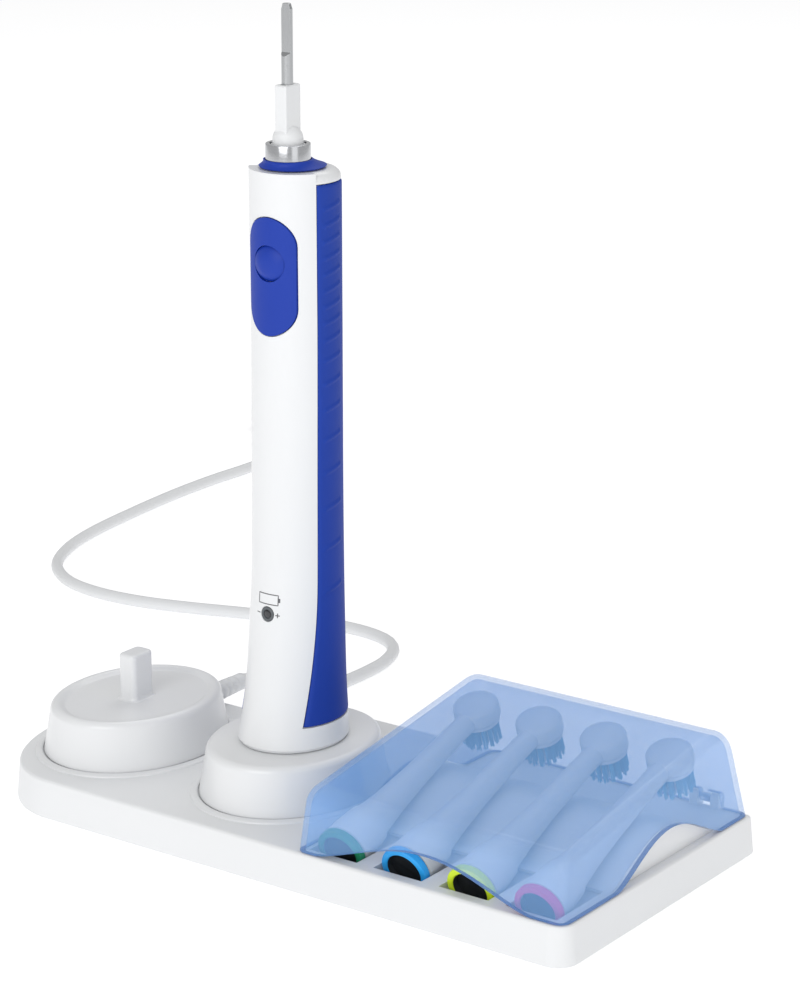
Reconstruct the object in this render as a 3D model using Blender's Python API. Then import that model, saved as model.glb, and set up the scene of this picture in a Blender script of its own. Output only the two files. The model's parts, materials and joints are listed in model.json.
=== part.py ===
"""Electric toothbrush on its charger stand, in metres, +Z up.

The origin is on the surface the stand rests on, under the middle of the tray. +X runs along the tray from the
charger to the case of spare brush heads. +Y points to the back, where the charger's cord leaves.
"""

import math

import bmesh
import bpy
from mathutils import Matrix, Vector

MM = 0.001
GAP = 0.3 * MM  # between fixed pieces that touch on the real object
FULL_TURN = 2 * math.pi

# ---- Tray -------------------------------------------------------------------
TRAY_LENGTH = 210 * MM
TRAY_DEPTH = 98.6 * MM
TRAY_TOP = 12.4 * MM
TRAY_DRAFT = 1.0 * MM
TRAY_EDGE = 0.9 * MM  # rounding round the top
TRAY_WALL = 2.0 * MM
TRAY_CORNER = 6.5 * MM  # the front corner by the case
TRAY_BACK_CORNER = 1.5 * MM
FOOT_PROUD = 0.5 * MM
FOOT_RADIUS = 4.5 * MM
FOOT_HEIGHT = 1.7 * MM
BASE_PLATE_THICKNESS = 1.5 * MM

# ---- Docks ------------------------------------------------------------------
DOCK_FOOT_X = 25.0 * MM  # half widths of the oval
DOCK_FOOT_Y = 30.8 * MM
DOCK_TOP = 27.3 * MM  # above the ground
DOCK_DRAFT = 2.4 * MM
DOCK_WALL = 1.8 * MM
RIM_WIDTH = 4.2 * MM
DISH_DEPTH = 1.1 * MM
LIP_WIDTH = 2.3 * MM  # the ring lip on the tray round each dock
LIP_HEIGHT = 0.9 * MM
LIP_GROOVE = 0.4 * MM
LIP_REACH_X = DOCK_FOOT_X + LIP_GROOVE + LIP_WIDTH  # from a dock's middle to its lip's outer edge
LIP_REACH_Y = DOCK_FOOT_Y + LIP_GROOVE + LIP_WIDTH
TRAY_MARGIN_X = 2.8 * MM  # tray left clear outside the charger's lip
TRAY_MARGIN_Y = 8.2 * MM
DOCK_SPACE = 9.5 * MM  # between the feet of the two docks
HOLDER_FORWARD = 0.4 * MM  # the holder stands this far in front of the charger's line
CHARGER_AT = Vector(
    (LIP_REACH_X + TRAY_MARGIN_X - TRAY_LENGTH / 2, LIP_REACH_Y + TRAY_MARGIN_Y - TRAY_DEPTH / 2, 0)
)
HOLDER_AT = CHARGER_AT + Vector((2 * DOCK_FOOT_X + DOCK_SPACE, -HOLDER_FORWARD, 0))
STEP_NEAR_X = HOLDER_AT.x - 17 * MM  # the tray's back edge steps forward between these two places
STEP_FAR_X = CHARGER_AT.x + 12.5 * MM
DOCK_PLATE_THICKNESS = 1.5 * MM
OVAL_SIDES = 32

# ---- Charging peg -----------------------------------------------------------
PEG_X = 6.4 * MM
PEG_Y = 9.2 * MM
PEG_CORNER = 1.7 * MM
PEG_HEIGHT = 14.2 * MM
PEG_WALL = 1.1 * MM
CORE_RADIUS = 1.8 * MM
COIL_OUTER = 8.0 * MM
COIL_HEIGHT = 5.0 * MM

# ---- Handle -----------------------------------------------------------------
HANDLE_FOOT = DOCK_TOP + GAP
SHELL_WALL = 1.4 * MM
# height above the ground, half width, half depth, and how far the section's middle lies behind the shaft
HANDLE_SECTIONS = (
    (HANDLE_FOOT / MM, 14.6, 16.7, 0.0),
    (HANDLE_FOOT / MM + 0.9, 15.2, 17.3, 0.0),
    (38.0, 14.2, 15.9, 0.9),
    (47.0, 13.7, 15.0, 1.4),
    (59.0, 13.3, 14.3, 1.9),
    (77.0, 12.9, 13.4, 2.5),
    (104.0, 12.8, 12.9, 2.7),
    (150.0, 12.8, 12.45, 3.0),
    (189.6, 12.85, 12.5, 2.9),
    (191.0, 12.3, 12.0, 2.7),
    (192.2, 9.7, 9.9, 2.2),
)
SHELL_TOP = 192.2 * MM
NECK_THICKNESS = 3.6 * MM
GRIP_BOTTOM = 34.5 * MM
GRIP_TOP = 189.2 * MM
GRIP_THICKNESS = 1.0 * MM
GRIP_PROUD = 0.15 * MM
GRIP_EDGE_LOW = math.radians(49)  # from the handle's front to the grip's edge, at its foot
GRIP_EDGE = math.radians(63.8)
GRIP_EDGE_STRAIGHT_FROM = 75 * MM
PAD_MIDDLE = 163.5 * MM
PAD_HEIGHT = 33.0 * MM
PAD_WIDTH = 15.8 * MM
PAD_THICKNESS = 0.9 * MM
PAD_PROUD = 0.25 * MM
BUTTON_AT = 167.2 * MM
BUTTON_RADIUS = 5.0 * MM
BUTTON_TRAVEL = 0.8 * MM
BUTTON_PROUD = 0.9 * MM
LED_AT = 67.0 * MM
LED_RADIUS = 1.5 * MM
COLLAR_BOTTOM = 194.5 * MM
COLLAR_TOP = 199.2 * MM
COLLAR_OUTER = 6.25 * MM
COLLAR_WALL = 1.2 * MM
SEAL_X = 9.3 * MM
SEAL_Y = 9.5 * MM
SEAL_BACK = 2.0 * MM
POST_TOP = 215.2 * MM
POST_X = 4.0 * MM
POST_Y = 6.6 * MM
POST_DOME = 4.25 * MM
SHAFT_RADIUS = 1.6 * MM
SHAFT_TOP = 237.1 * MM
SHAFT_FLAT_FROM = 223.2 * MM
SHAFT_FLAT_AT = 0.5 * MM  # in front of the axis
RUNNING = 0.08 * MM  # radial clearance of a turning fit

# ---- Inside the handle ------------------------------------------------------
BATTERY_RADIUS = 7.0 * MM
BATTERY_LENGTH = 49.0 * MM
BATTERY_FOOT = 62.0 * MM
BATTERY_BACK = 3.0 * MM  # its axis behind the shaft's
MOTOR_RADIUS = 5.5 * MM
MOTOR_LENGTH = 24.0 * MM
GEAR_MODULE = 0.3 * MM
CRANK_TEETH = 20
PINION_TEETH = 10
MESH_DISTANCE = GEAR_MODULE * (CRANK_TEETH + PINION_TEETH) / 2
CRANK_THROW = 1.7 * MM
GEAR_FOOT = 147.0 * MM
GEAR_THICKNESS = 2.6 * MM
DECK_THICKNESS = 1.6 * MM
DECK_TOP = GEAR_FOOT - 0.5 * MM
BEARING_DECK_TOP = 187.0 * MM
SPINE_WIDTH = 8.4 * MM
SPINE_THICKNESS = 1.4 * MM
BOARD_WIDTH = 8.8 * MM
BOARD_THICKNESS = 1.2 * MM
BOARD_FRONT = 5.6 * MM  # in front of the shaft

# ---- Case of spare brush heads ----------------------------------------------
CASE_MARGIN = 3.3 * MM  # between the holder's lip and the lid
CASE_LEFT = HOLDER_AT.x + LIP_REACH_X + CASE_MARGIN
CASE_RIGHT = TRAY_LENGTH / 2
LID_WALL = 1.5 * MM
LID_EDGE_IN = 0.3 * MM  # the lid stands this far inside the tray's top edge
LID_GAP = 0.3 * MM
LID_SIDE_DRAFT = 1.6 * MM
LID_FILLET = 3.4 * MM
LID_FRONT_HEIGHT = 30.3 * MM
LID_BACK_HEIGHT = 41.2 * MM
LID_FRONT_FILLET = 6.0 * MM
LID_BACK_FILLET = 11.0 * MM
LID_FRONT_LEAN = 2.6 * MM
LID_BACK_LEAN = 9.4 * MM
FRONT_ARCH = (CASE_LEFT + 6.5 * MM, CASE_RIGHT - 12.0 * MM, 8.2 * MM)  # from x, to x, height above the rim
# the ridge under the necks and the arches in the lid's sides: from y, to y, height above the rim
HEAD_FRONT_Y = TRAY_DEPTH / 2 - 90.8 * MM  # the rings' end, measured from the back, under the roof's high side
SIDE_ARCH = (HEAD_FRONT_Y + 20.0 * MM, HEAD_FRONT_Y + 74.5 * MM, 9.6 * MM)
HUMP_WALL = 1.8 * MM
HUMP_CLEAR = 0.6 * MM  # from the lid's sides
HINGE_HEIGHT = 3.0 * MM  # the pin above the tray's top
HINGE_IN = 1.0 * MM  # and in from its back edge
HINGE_X = (CASE_LEFT + 14.0 * MM, CASE_RIGHT - 15.0 * MM)
PIN_RADIUS = 0.8 * MM
EAR_RADIUS = 1.8 * MM
EAR_WIDTH = 3.0 * MM
NOTCH_CLEAR = 0.6 * MM
PIN_LENGTH = 9.6 * MM

# ---- Brush heads ------------------------------------------------------------
HEAD_COUNT = 4
HEAD_MARGIN = 1.3 * MM
HEAD_PITCH = (CASE_RIGHT - CASE_LEFT - 2 * HEAD_MARGIN) / HEAD_COUNT
HEAD_MIDDLE_X = (CASE_LEFT + CASE_RIGHT) / 2 - 1.7 * MM
HEAD_FRONT_HEIGHT = 12.0 * MM
HEAD_TILT = math.radians(18)
HEAD_LENGTH = 69.5 * MM  # from the ring's face to the middle of the bristle disc
RING_RADIUS = 7.3 * MM
RING_THICKNESS = 2.2 * MM
RING_HOLE = 5.4 * MM
SLEEVE_BORE = 4.4 * MM
SLEEVE_BORE_DEPTH = 26.0 * MM
# distance from the ring and radius, as far as the neck under the head
SLEEVE_PROFILE = (
    (2.5, 7.1), (8.0, 6.9), (14.0, 6.3), (14.6, 5.6), (24.0, 4.5), (36.0, 3.7), (58.0, 3.1), (69.0, 3.1)
)
BRUSH_RADIUS = 6.7 * MM
BRUSH_BACK = 3.4 * MM
BRUSH_DOME = 1.5 * MM
DISC_RADIUS = 6.2 * MM
DISC_THICKNESS = 1.3 * MM
TUFT_RADIUS = 5.7 * MM
TUFT_LENGTH = 8.3 * MM
DISC_SWING_GAP = 0.3 * MM
SLOT_CLEAR = 0.7 * MM

# ---- Cord -------------------------------------------------------------------
CORD_DIAMETER = 4.2 * MM
RELIEF_LENGTH = 21 * MM
RELIEF_RADIUS = 3.4 * MM
CORD_HEIGHT = 16.4 * MM  # where it leaves the charger
FLOOR_LINE = CORD_DIAMETER / 2 + 0.02 * MM
# the route over the floor, in millimetres, after the cord has come down behind the tray
CORD_ROUTE = (
    (-73.6, 66, None), (-72.4, 80, None), (-71.7, 94, None), (-71.6, 105, None), (-72.9, 116, None),
    (-77.6, 127, None), (-87.0, 134, None), (-102, 136.2, None), (-121, 133.2, None), (-140, 128, None),
    (-160, 121.2, None), (-179, 116.2, None), (-198, 115.2, None), (-215, 119.4, None), (-230, 130.6, None),
    (-240, 147.8, None), (-246, 168, None), (-250, 195, None), (-252.8, 223, None), (-253.6, 248, None),
    (-252.8, 268, None), (-253.6, 281, None),
)
HANK_ALONG = Vector((-0.6253, 0.7804, 0))
HANK_NEAR = Vector((-254.3 * MM, 299.2 * MM, 0))  # middle of the hank's near end
HANK_LENGTH = 86 * MM
HANK_TURN = 10.4 * MM  # radius of its end loops
HANK_PITCH = 4.3 * MM  # each turn lies on the last
HANK_TURNS = 3.4
HANK_WIDTH = 2 * HANK_TURN + CORD_DIAMETER
HANK_HEIGHT = HANK_TURNS * HANK_PITCH + CORD_DIAMETER
TAIL_LENGTH = 42 * MM  # from the hank down to the plug
TIE_WIDTH = 6 * MM
TIE_THICKNESS = 0.9 * MM
PLUG_LENGTH = 34 * MM
PLUG_WIDTH = 24 * MM
PLUG_HEIGHT = 13.6 * MM
PLUG_NECK = 9 * MM
PIN_PITCH = 18.6 * MM
PLUG_PIN_RADIUS = 2.0 * MM
PLUG_PIN_LENGTH = 19 * MM

# colour, roughness, metallic, alpha
FINISHES = {
    "white_plastic": ((0.90, 0.91, 0.91), 0.28, 0.0, 1.0),
    "white_cord": ((0.86, 0.87, 0.88), 0.40, 0.0, 1.0),
    "blue_rubber": ((0.02, 0.08, 0.40), 0.55, 0.0, 1.0),
    "blue_clear": ((0.12, 0.30, 0.75), 0.08, 0.0, 0.45),
    "steel": ((0.60, 0.61, 0.63), 0.25, 1.0, 1.0),
    "grey_rubber": ((0.20, 0.20, 0.21), 0.70, 0.0, 1.0),
    "board_green": ((0.03, 0.22, 0.09), 0.45, 0.0, 1.0),
    "copper": ((0.70, 0.30, 0.13), 0.35, 1.0, 1.0),
    "ferrite": ((0.05, 0.05, 0.055), 0.60, 0.0, 1.0),
    "brass": ((0.78, 0.60, 0.28), 0.30, 1.0, 1.0),
    "battery_wrap": ((0.03, 0.25, 0.16), 0.35, 0.0, 1.0),
    "lens_smoke": ((0.03, 0.03, 0.04), 0.10, 0.0, 1.0),
    "bristle_blue": ((0.10, 0.45, 0.70), 0.50, 0.0, 1.0),
    "ring_green": ((0.02, 0.30, 0.16), 0.40, 0.0, 1.0),
    "ring_blue": ((0.02, 0.36, 0.92), 0.40, 0.0, 1.0),
    "ring_yellow": ((0.68, 0.90, 0.03), 0.40, 0.0, 1.0),
    "ring_pink": ((0.70, 0.04, 0.22), 0.40, 0.0, 1.0),
}


# ---- Shape helpers ----------------------------------------------------------
def material(name, finish):
    colour, roughness, metallic, alpha = FINISHES[finish]
    made = bpy.data.materials.new(name)
    made.use_nodes = True
    shader = made.node_tree.nodes["Principled BSDF"]
    shader.inputs["Base Color"].default_value = (*colour, 1)
    shader.inputs["Roughness"].default_value = roughness
    shader.inputs["Metallic"].default_value = metallic
    shader.inputs["Alpha"].default_value = alpha
    return made


def add(name, bm, finish=None):
    """A piece, or a hidden cutter where no finish is given."""
    bmesh.ops.recalc_face_normals(bm, faces=bm.faces)
    mesh = bpy.data.meshes.new(name)
    bm.to_mesh(mesh)
    bm.free()
    mesh.shade_smooth()
    mesh.set_sharp_from_angle(angle=math.radians(35))
    piece = bpy.data.objects.new(name, mesh)
    bpy.context.scene.collection.objects.link(piece)
    if finish:
        mesh.materials.append(material(name, finish))
    else:
        piece.hide_render = True
        piece.display_type = "WIRE"
    return piece


def loft(name, rings, finish=None, closed=False, place=None):
    """A skin through rings of equally many points, capped at both ends or closed on itself."""
    bm = bmesh.new()
    loops = [[bm.verts.new(point) for point in ring] for ring in rings]
    pairs = list(zip(loops, loops[1:]))
    if closed:
        pairs.append((loops[-1], loops[0]))
    for low, high in pairs:
        for i in range(len(low)):
            j = (i + 1) % len(low)
            bm.faces.new((low[i], low[j], high[j], high[i]))
    if not closed:
        bm.faces.new(loops[0][::-1])
        bm.faces.new(loops[-1])
    if place:
        bmesh.ops.transform(bm, matrix=place, verts=bm.verts)
    return add(name, bm, finish)


def prism(name, outline, low, high, finish=None, place=None):
    """An outline in X and Y carried from one height to another."""
    rings = [[(x, y, z) for x, y in outline] for z in (low, high)]
    return loft(name, rings, finish, place=place)


def block(name, low, high, finish=None):
    x0, y0, z0 = low
    x1, y1, z1 = high
    return prism(name, [(x0, y0), (x1, y0), (x1, y1), (x0, y1)], z0, z1, finish)


def oval(centre, half_x, half_y, height, sides=OVAL_SIDES):
    turns = [FULL_TURN * i / sides for i in range(sides)]
    return [(centre[0] + half_x * math.cos(t), centre[1] + half_y * math.sin(t), height) for t in turns]


def turned(name, profile, centre=(0, 0), sides=24, finish=None, closed=False, place=None):
    """Turned about the vertical through the centre: the profile is (radius, height), from the bottom up."""
    rings = [oval(centre, radius, radius, height, sides) for radius, height in profile]
    return loft(name, rings, finish, closed, place)


def stacked(name, centre, sections, finish=None, closed=False, sides=OVAL_SIDES):
    """Ovals on one another: each section is (half width, half depth, height)."""
    return loft(name, [oval(centre, *section, sides) for section in sections], finish, closed)


def rounded_outline(centre, width, depth, corner, steps=3):
    """A rectangle with round corners, anticlockwise."""
    points = []
    for quarter, (sx, sy) in enumerate(((1, 1), (-1, 1), (-1, -1), (1, -1))):
        for step in range(steps + 1):
            turn = math.pi / 2 * (quarter + step / steps)
            x = centre[0] + sx * (width / 2 - corner) + corner * math.cos(turn)
            y = centre[1] + sy * (depth / 2 - corner) + corner * math.sin(turn)
            points.append((x, y))
    return points


def boolean(piece, other, operation):
    modifier = piece.modifiers.new(other.name, "BOOLEAN")
    modifier.operation = operation
    modifier.object = other


def cut(piece, *cutters):
    for cutter in cutters:
        boolean(piece, cutter, "DIFFERENCE")


def join(piece, *others):
    for other in others:
        boolean(piece, other, "UNION")


def keep_inside(piece, limit):
    boolean(piece, limit, "INTERSECT")


def pivot(name, at, parent=None):
    """An empty on a joint's axis."""
    empty = bpy.data.objects.new(name, None)
    bpy.context.scene.collection.objects.link(empty)
    empty["at"] = tuple(at)
    empty.parent = parent
    empty.location = Vector(at) - (Vector(parent["at"]) if parent else Vector())
    return empty


def hang(piece, empty):
    """Puts a piece's origin on the joint's axis and its body under it."""
    piece.data.transform(Matrix.Translation(-Vector(empty["at"])))
    piece.parent = empty


# ---- Tray -------------------------------------------------------------------
def tray_outline(inset):
    """The stand's outline, anticlockwise from the front corner by the case, moved inwards by the inset."""
    right = TRAY_LENGTH / 2 - inset
    front = -TRAY_DEPTH / 2 + inset
    back = TRAY_DEPTH / 2 - inset
    points = []
    for centre_y, radius, start in ((front, TRAY_CORNER, -0.5), (back, TRAY_BACK_CORNER, 0.0)):
        radius = max(radius - inset, 0.6 * MM)
        steps = 5 if start else 3
        middle_y = centre_y + radius if start else centre_y - radius
        for step in range(steps + 1):
            turn = math.pi * (start + 0.5 * step / steps)
            points.append((right - radius + radius * math.cos(turn), middle_y + radius * math.sin(turn)))
    lobe_x = TRAY_LENGTH / 2 + CHARGER_AT.x - inset
    lobe_y = TRAY_DEPTH / 2 + CHARGER_AT.y - inset
    lobe_back = CHARGER_AT.y + lobe_y
    for step in range(9):
        share = step / 8
        drop = (1 - math.cos(math.pi * share)) / 2
        points.append((STEP_NEAR_X + (STEP_FAR_X - STEP_NEAR_X) * share, back + (lobe_back - back) * drop))
    for step in range(1, 25):
        turn = math.pi * (0.5 + step / 24)
        points.append((CHARGER_AT.x + lobe_x * math.cos(turn), CHARGER_AT.y + lobe_y * math.sin(turn)))
    return points


def level(outline, height):
    return [(x, y, height) for x, y in outline]


def head_x(index):
    return HEAD_MIDDLE_X + (index - (HEAD_COUNT - 1) / 2) * HEAD_PITCH


def head_frame(index):
    """From a brush head lying along +Z with its bristles towards +Y, to its place in the tray."""
    lay = Matrix.Rotation(-(math.pi / 2 - HEAD_TILT), 4, "X")
    return Matrix.Translation((head_x(index), HEAD_FRONT_Y, HEAD_FRONT_HEIGHT)) @ lay


def bell(start, end, rise, steps=10):
    """A smooth arch from one place to another: (place, height)."""
    points = []
    for step in range(steps + 1):
        share = step / steps
        points.append((start + (end - start) * share, rise * math.sin(math.pi * share) ** 1.35))
    return points


def side_plate(name, x, thickness, outline, finish=None):
    """An outline in Y and Z, standing across X."""
    rings = [[(x + side * thickness / 2, y, z) for y, z in outline] for side in (-1, 1)]
    return loft(name, rings, finish)


def make_tray():
    top = tray_outline(TRAY_DRAFT + TRAY_EDGE)
    body = loft(
        "tray",
        [
            level(tray_outline(0.4 * MM), FOOT_PROUD),
            level(tray_outline(0), FOOT_PROUD + 0.5 * MM),
            level(tray_outline(TRAY_DRAFT), TRAY_TOP - TRAY_EDGE),
            level(tray_outline(TRAY_DRAFT + 0.3 * TRAY_EDGE), TRAY_TOP - 0.3 * TRAY_EDGE),
            level(top, TRAY_TOP),
        ],
        "white_plastic",
    )
    for name, at in (("charger", CHARGER_AT), ("holder", HOLDER_AT)):
        inner_x, inner_y = DOCK_FOOT_X + LIP_GROOVE, DOCK_FOOT_Y + LIP_GROOVE
        outer_x, outer_y = inner_x + LIP_WIDTH, inner_y + LIP_WIDTH
        sunk = TRAY_TOP - 0.5 * MM
        lip = stacked(
            f"cutter_{name}_lip",
            at,
            [
                (inner_x, inner_y, sunk),
                (outer_x, outer_y, sunk),
                (outer_x, outer_y, TRAY_TOP + 0.25 * LIP_HEIGHT),
                (outer_x - 0.35 * LIP_WIDTH, outer_y - 0.35 * LIP_WIDTH, TRAY_TOP + LIP_HEIGHT),
                (inner_x + 0.15 * LIP_WIDTH, inner_y + 0.15 * LIP_WIDTH, TRAY_TOP + LIP_HEIGHT),
                (inner_x, inner_y, TRAY_TOP + 0.7 * LIP_HEIGHT),
            ],
            closed=True,
        )
        join(body, lip)
    underside = prism(
        "cutter_underside", tray_outline(TRAY_WALL), 0, FOOT_PROUD + BASE_PLATE_THICKNESS + GAP
    )
    cut(body, underside)
    hollow_right = CASE_LEFT - 3 * MM
    hollow = prism(
        "cutter_tray_hollow", [p for p in tray_outline(TRAY_WALL + TRAY_DRAFT) if p[0] < hollow_right],
        FOOT_PROUD, TRAY_TOP - TRAY_WALL,
    )
    cut(body, hollow)
    behind = HEAD_FRONT_Y + (RING_RADIUS + SLOT_CLEAR) / math.tan(HEAD_TILT) + 2 * TRAY_WALL
    inside = TRAY_LENGTH / 2 - TRAY_WALL - TRAY_DRAFT
    cut(body, block(
        "cutter_case_hollow",
        (hollow_right + TRAY_WALL, behind, FOOT_PROUD),
        (inside, TRAY_DEPTH / 2 - TRAY_WALL - TRAY_DRAFT, TRAY_TOP - TRAY_WALL),
    ))
    join(body, hump("cutter_hump", 0, TRAY_TOP - 1 * MM))
    cut(body, hump("cutter_hump_hollow", HUMP_WALL, TRAY_TOP - TRAY_WALL - 1 * MM))
    slot_front = HEAD_FRONT_Y - RING_RADIUS * math.sin(HEAD_TILT) - SLOT_CLEAR
    slot_floor = HEAD_FRONT_HEIGHT - RING_RADIUS - SLOT_CLEAR
    reach = (RING_RADIUS + SLOT_CLEAR) / math.tan(HEAD_TILT)
    for index in range(HEAD_COUNT):
        half = RING_RADIUS + SLOT_CLEAR
        outline = [
            (slot_front, TRAY_TOP + 1 * MM),
            (slot_front, slot_floor),
            (HEAD_FRONT_Y + RING_RADIUS * math.sin(HEAD_TILT), slot_floor),
            (HEAD_FRONT_Y + reach, TRAY_TOP),
            (HEAD_FRONT_Y + reach, TRAY_TOP + 1 * MM),
        ]
        cut(body, side_plate(f"cutter_slot_{index + 1}", head_x(index), 2 * half, outline))
    y, z = hinge_line()
    for index, x in enumerate(HINGE_X):
        for side in (-1, 1):
            middle = x + side * (EAR_WIDTH + 0.4 * MM)
            join(
                body,
                ear(f"cutter_post_{index + 1}{'b' if side > 0 else 'a'}", middle, EAR_WIDTH - 0.4 * MM),
            )
        reach_x = PIN_LENGTH / 2 + 1 * MM
        cut(body, rod(f"cutter_pin_hole_{index + 1}", x, reach_x * 2, PIN_RADIUS + RUNNING, y, z))
    return body


def hump(name, inset, foot):
    """The ridge across the case that the necks lie over, with the side arches' outline."""
    start, end, rise = SIDE_ARCH
    arch = [(y, TRAY_TOP + z) for y, z in bell(start + inset, end - inset, rise - inset)]
    clear = LID_EDGE_IN + LID_WALL + HUMP_CLEAR + LID_SIDE_DRAFT * rise / (LID_BACK_HEIGHT - TRAY_TOP)
    left, right = CASE_LEFT + clear + inset, TRAY_LENGTH / 2 - TRAY_DRAFT - clear - inset
    outline = arch + [(end - inset, foot), (start + inset, foot)]
    return side_plate(name, (left + right) / 2, right - left, outline)


def hinge_line():
    return TRAY_DEPTH / 2 - TRAY_DRAFT - HINGE_IN, TRAY_TOP + HINGE_HEIGHT


def ear(name, x, width, finish=None, foot=None):
    """A hinge ear round the pin, standing on the tray."""
    y, z = hinge_line()
    foot = TRAY_TOP - 1 * MM if foot is None else foot
    outline = [(y - EAR_RADIUS, foot), (y + EAR_RADIUS, foot)]
    outline += [
        (
            y + EAR_RADIUS * math.cos(math.pi * i / 8), z + EAR_RADIUS * math.sin(math.pi * i / 8)
        ) for i in range(9)
    ]
    return side_plate(name, x, width, outline, finish)


def rod(name, x, length, radius, y, z, finish=None, sides=16):
    rings = []
    for side in (-1, 1):
        rings.append([
            (
                x + side * length / 2, y + radius * math.cos(FULL_TURN * i / sides),
                z + radius * math.sin(FULL_TURN * i / sides),
            )
            for i in range(sides)
        ])
    return loft(name, rings, finish)


def make_base_and_feet():
    low = FOOT_PROUD + 0.05 * MM
    plate = prism(
        "tray_base_plate", tray_outline(TRAY_WALL + GAP), low + 0.2 * MM,
        FOOT_PROUD + BASE_PLATE_THICKNESS, "white_plastic",
    )
    foot_x = TRAY_LENGTH / 2 - 15 * MM
    foot_y = TRAY_DEPTH / 2 - 12 * MM
    places = (
        (CHARGER_AT.x - 15.5 * MM, CHARGER_AT.y - 17.27 * MM),
        (CHARGER_AT.x - 5.5 * MM, CHARGER_AT.y + 26.25 * MM),
        (foot_x, -foot_y), (foot_x, foot_y),
    )
    for index, at in enumerate(places):
        hole = turned(
            f"cutter_foot_{index + 1}",
            [(FOOT_RADIUS + GAP, 0), (FOOT_RADIUS + GAP, FOOT_HEIGHT + 1 * MM)], at, 14,
        )
        cut(plate, hole)
        turned(
            f"tray_foot_{index + 1}",
            [(FOOT_RADIUS - 0.4 * MM, 0), (FOOT_RADIUS, 0.4 * MM), (FOOT_RADIUS, FOOT_HEIGHT)],
            at, 14, "grey_rubber",
        )


# ---- Docks ------------------------------------------------------------------
def make_dock(name, at, dished):
    """The oval housing with its peg, hollow and open underneath."""
    foot = TRAY_TOP + GAP
    dish = DOCK_TOP - DISH_DEPTH if dished else DOCK_TOP
    edge = 2.2 * MM
    sections = [
        (0.0, foot),
        (DOCK_DRAFT * 0.85, DOCK_TOP - edge),
        (DOCK_DRAFT + 0.7 * MM, DOCK_TOP - 0.6 * MM),
        (DOCK_DRAFT + 1.9 * MM, DOCK_TOP),
    ]
    if dished:
        sections += [(DOCK_DRAFT + 2.8 * MM, DOCK_TOP - 0.1 * MM), (DOCK_DRAFT + RIM_WIDTH, dish)]
    outer = [(DOCK_FOOT_X - inset, DOCK_FOOT_Y - inset, height) for inset, height in sections]
    housing = stacked(f"{name}_housing", at, outer, "white_plastic")
    peg_top = dish + PEG_HEIGHT
    peg_outline = rounded_outline(at, PEG_X, PEG_Y, PEG_CORNER)
    peg_tip = rounded_outline(at, PEG_X - 1.4 * MM, PEG_Y - 1.4 * MM, PEG_CORNER - 0.7 * MM)
    peg = loft(
        f"cutter_{name}_peg",
        [
            level(peg_outline, dish - 1 * MM), level(peg_outline, peg_top - 0.8 * MM),
            level(peg_tip, peg_top),
        ],
    )
    join(housing, peg)
    inner = [
        (DOCK_FOOT_X - DOCK_WALL, DOCK_FOOT_Y - DOCK_WALL, foot - 1 * MM),
        (DOCK_FOOT_X - DOCK_WALL, DOCK_FOOT_Y - DOCK_WALL, foot),
        (DOCK_FOOT_X - DOCK_WALL - DOCK_DRAFT, DOCK_FOOT_Y - DOCK_WALL - DOCK_DRAFT, dish - DOCK_WALL),
    ]
    cut(housing, stacked(f"cutter_{name}_hollow", at, inner))
    bore = CORE_RADIUS + GAP
    cut(housing, turned(f"cutter_{name}_bore", [(bore, dish - 3 * MM), (bore, peg_top - PEG_WALL)], at, 16))
    plate_x, plate_y = DOCK_FOOT_X - DOCK_WALL - GAP, DOCK_FOOT_Y - DOCK_WALL - GAP
    low = foot + 0.1 * MM
    slope = DOCK_DRAFT * DOCK_PLATE_THICKNESS / (DOCK_TOP - foot)
    stacked(
        f"{name}_base_plate", at,
        [(plate_x, plate_y, low), (plate_x - slope, plate_y - slope, low + DOCK_PLATE_THICKNESS)],
        "white_plastic",
    )
    return housing, dish


def make_charger():
    housing, dish = make_dock("charger", CHARGER_AT, True)
    inside = TRAY_TOP + GAP + 0.1 * MM + DOCK_PLATE_THICKNESS
    core_foot = inside + GAP
    ceiling = dish - DOCK_WALL
    turned(
        "charger_ferrite_core",
        [(CORE_RADIUS, core_foot), (CORE_RADIUS, dish + PEG_HEIGHT - PEG_WALL - GAP)],
        CHARGER_AT, 16, "ferrite",
    )
    coil_foot = ceiling - GAP - COIL_HEIGHT
    inner = CORE_RADIUS + GAP
    turned(
        "charger_primary_coil",
        [
            (inner, coil_foot), (COIL_OUTER, coil_foot), (COIL_OUTER, coil_foot + COIL_HEIGHT),
            (inner, coil_foot + COIL_HEIGHT),
        ],
        CHARGER_AT, 24, "copper", closed=True,
    )
    board_x = CHARGER_AT.x + COIL_OUTER + 1.2 * MM
    board_foot = inside + 1.4 * MM
    block(
        "charger_circuit_board",
        (board_x, CHARGER_AT.y - 11 * MM, board_foot),
        (board_x + 8 * MM, CHARGER_AT.y + 11 * MM, board_foot + BOARD_THICKNESS),
        "board_green",
    )
    wall_y = CHARGER_AT.y + DOCK_FOOT_Y
    hole = along_y(
        "cutter_cord_hole", CHARGER_AT.x, CORD_HEIGHT,
        [(RELIEF_RADIUS, wall_y - 7 * MM), (RELIEF_RADIUS, wall_y + 5 * MM)],
    )
    cut(housing, hole)
    start = wall_y - DOCK_WALL + 0.2 * MM
    end = start + RELIEF_LENGTH
    snug = RELIEF_RADIUS - GAP
    relief = along_y(
        "cord_strain_relief", CHARGER_AT.x, CORD_HEIGHT,
        [(snug, start), (snug, wall_y + 1 * MM), (CORD_DIAMETER / 2 + 0.5 * MM, end)],
        "white_cord",
    )
    bore = CORD_DIAMETER / 2 + GAP
    cut(
        relief,
        along_y(
            "cutter_relief_bore", CHARGER_AT.x, CORD_HEIGHT,
            [(bore, start - 1 * MM), (bore, end + 1 * MM)], sides=12,
        ),
    )
    return start


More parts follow.
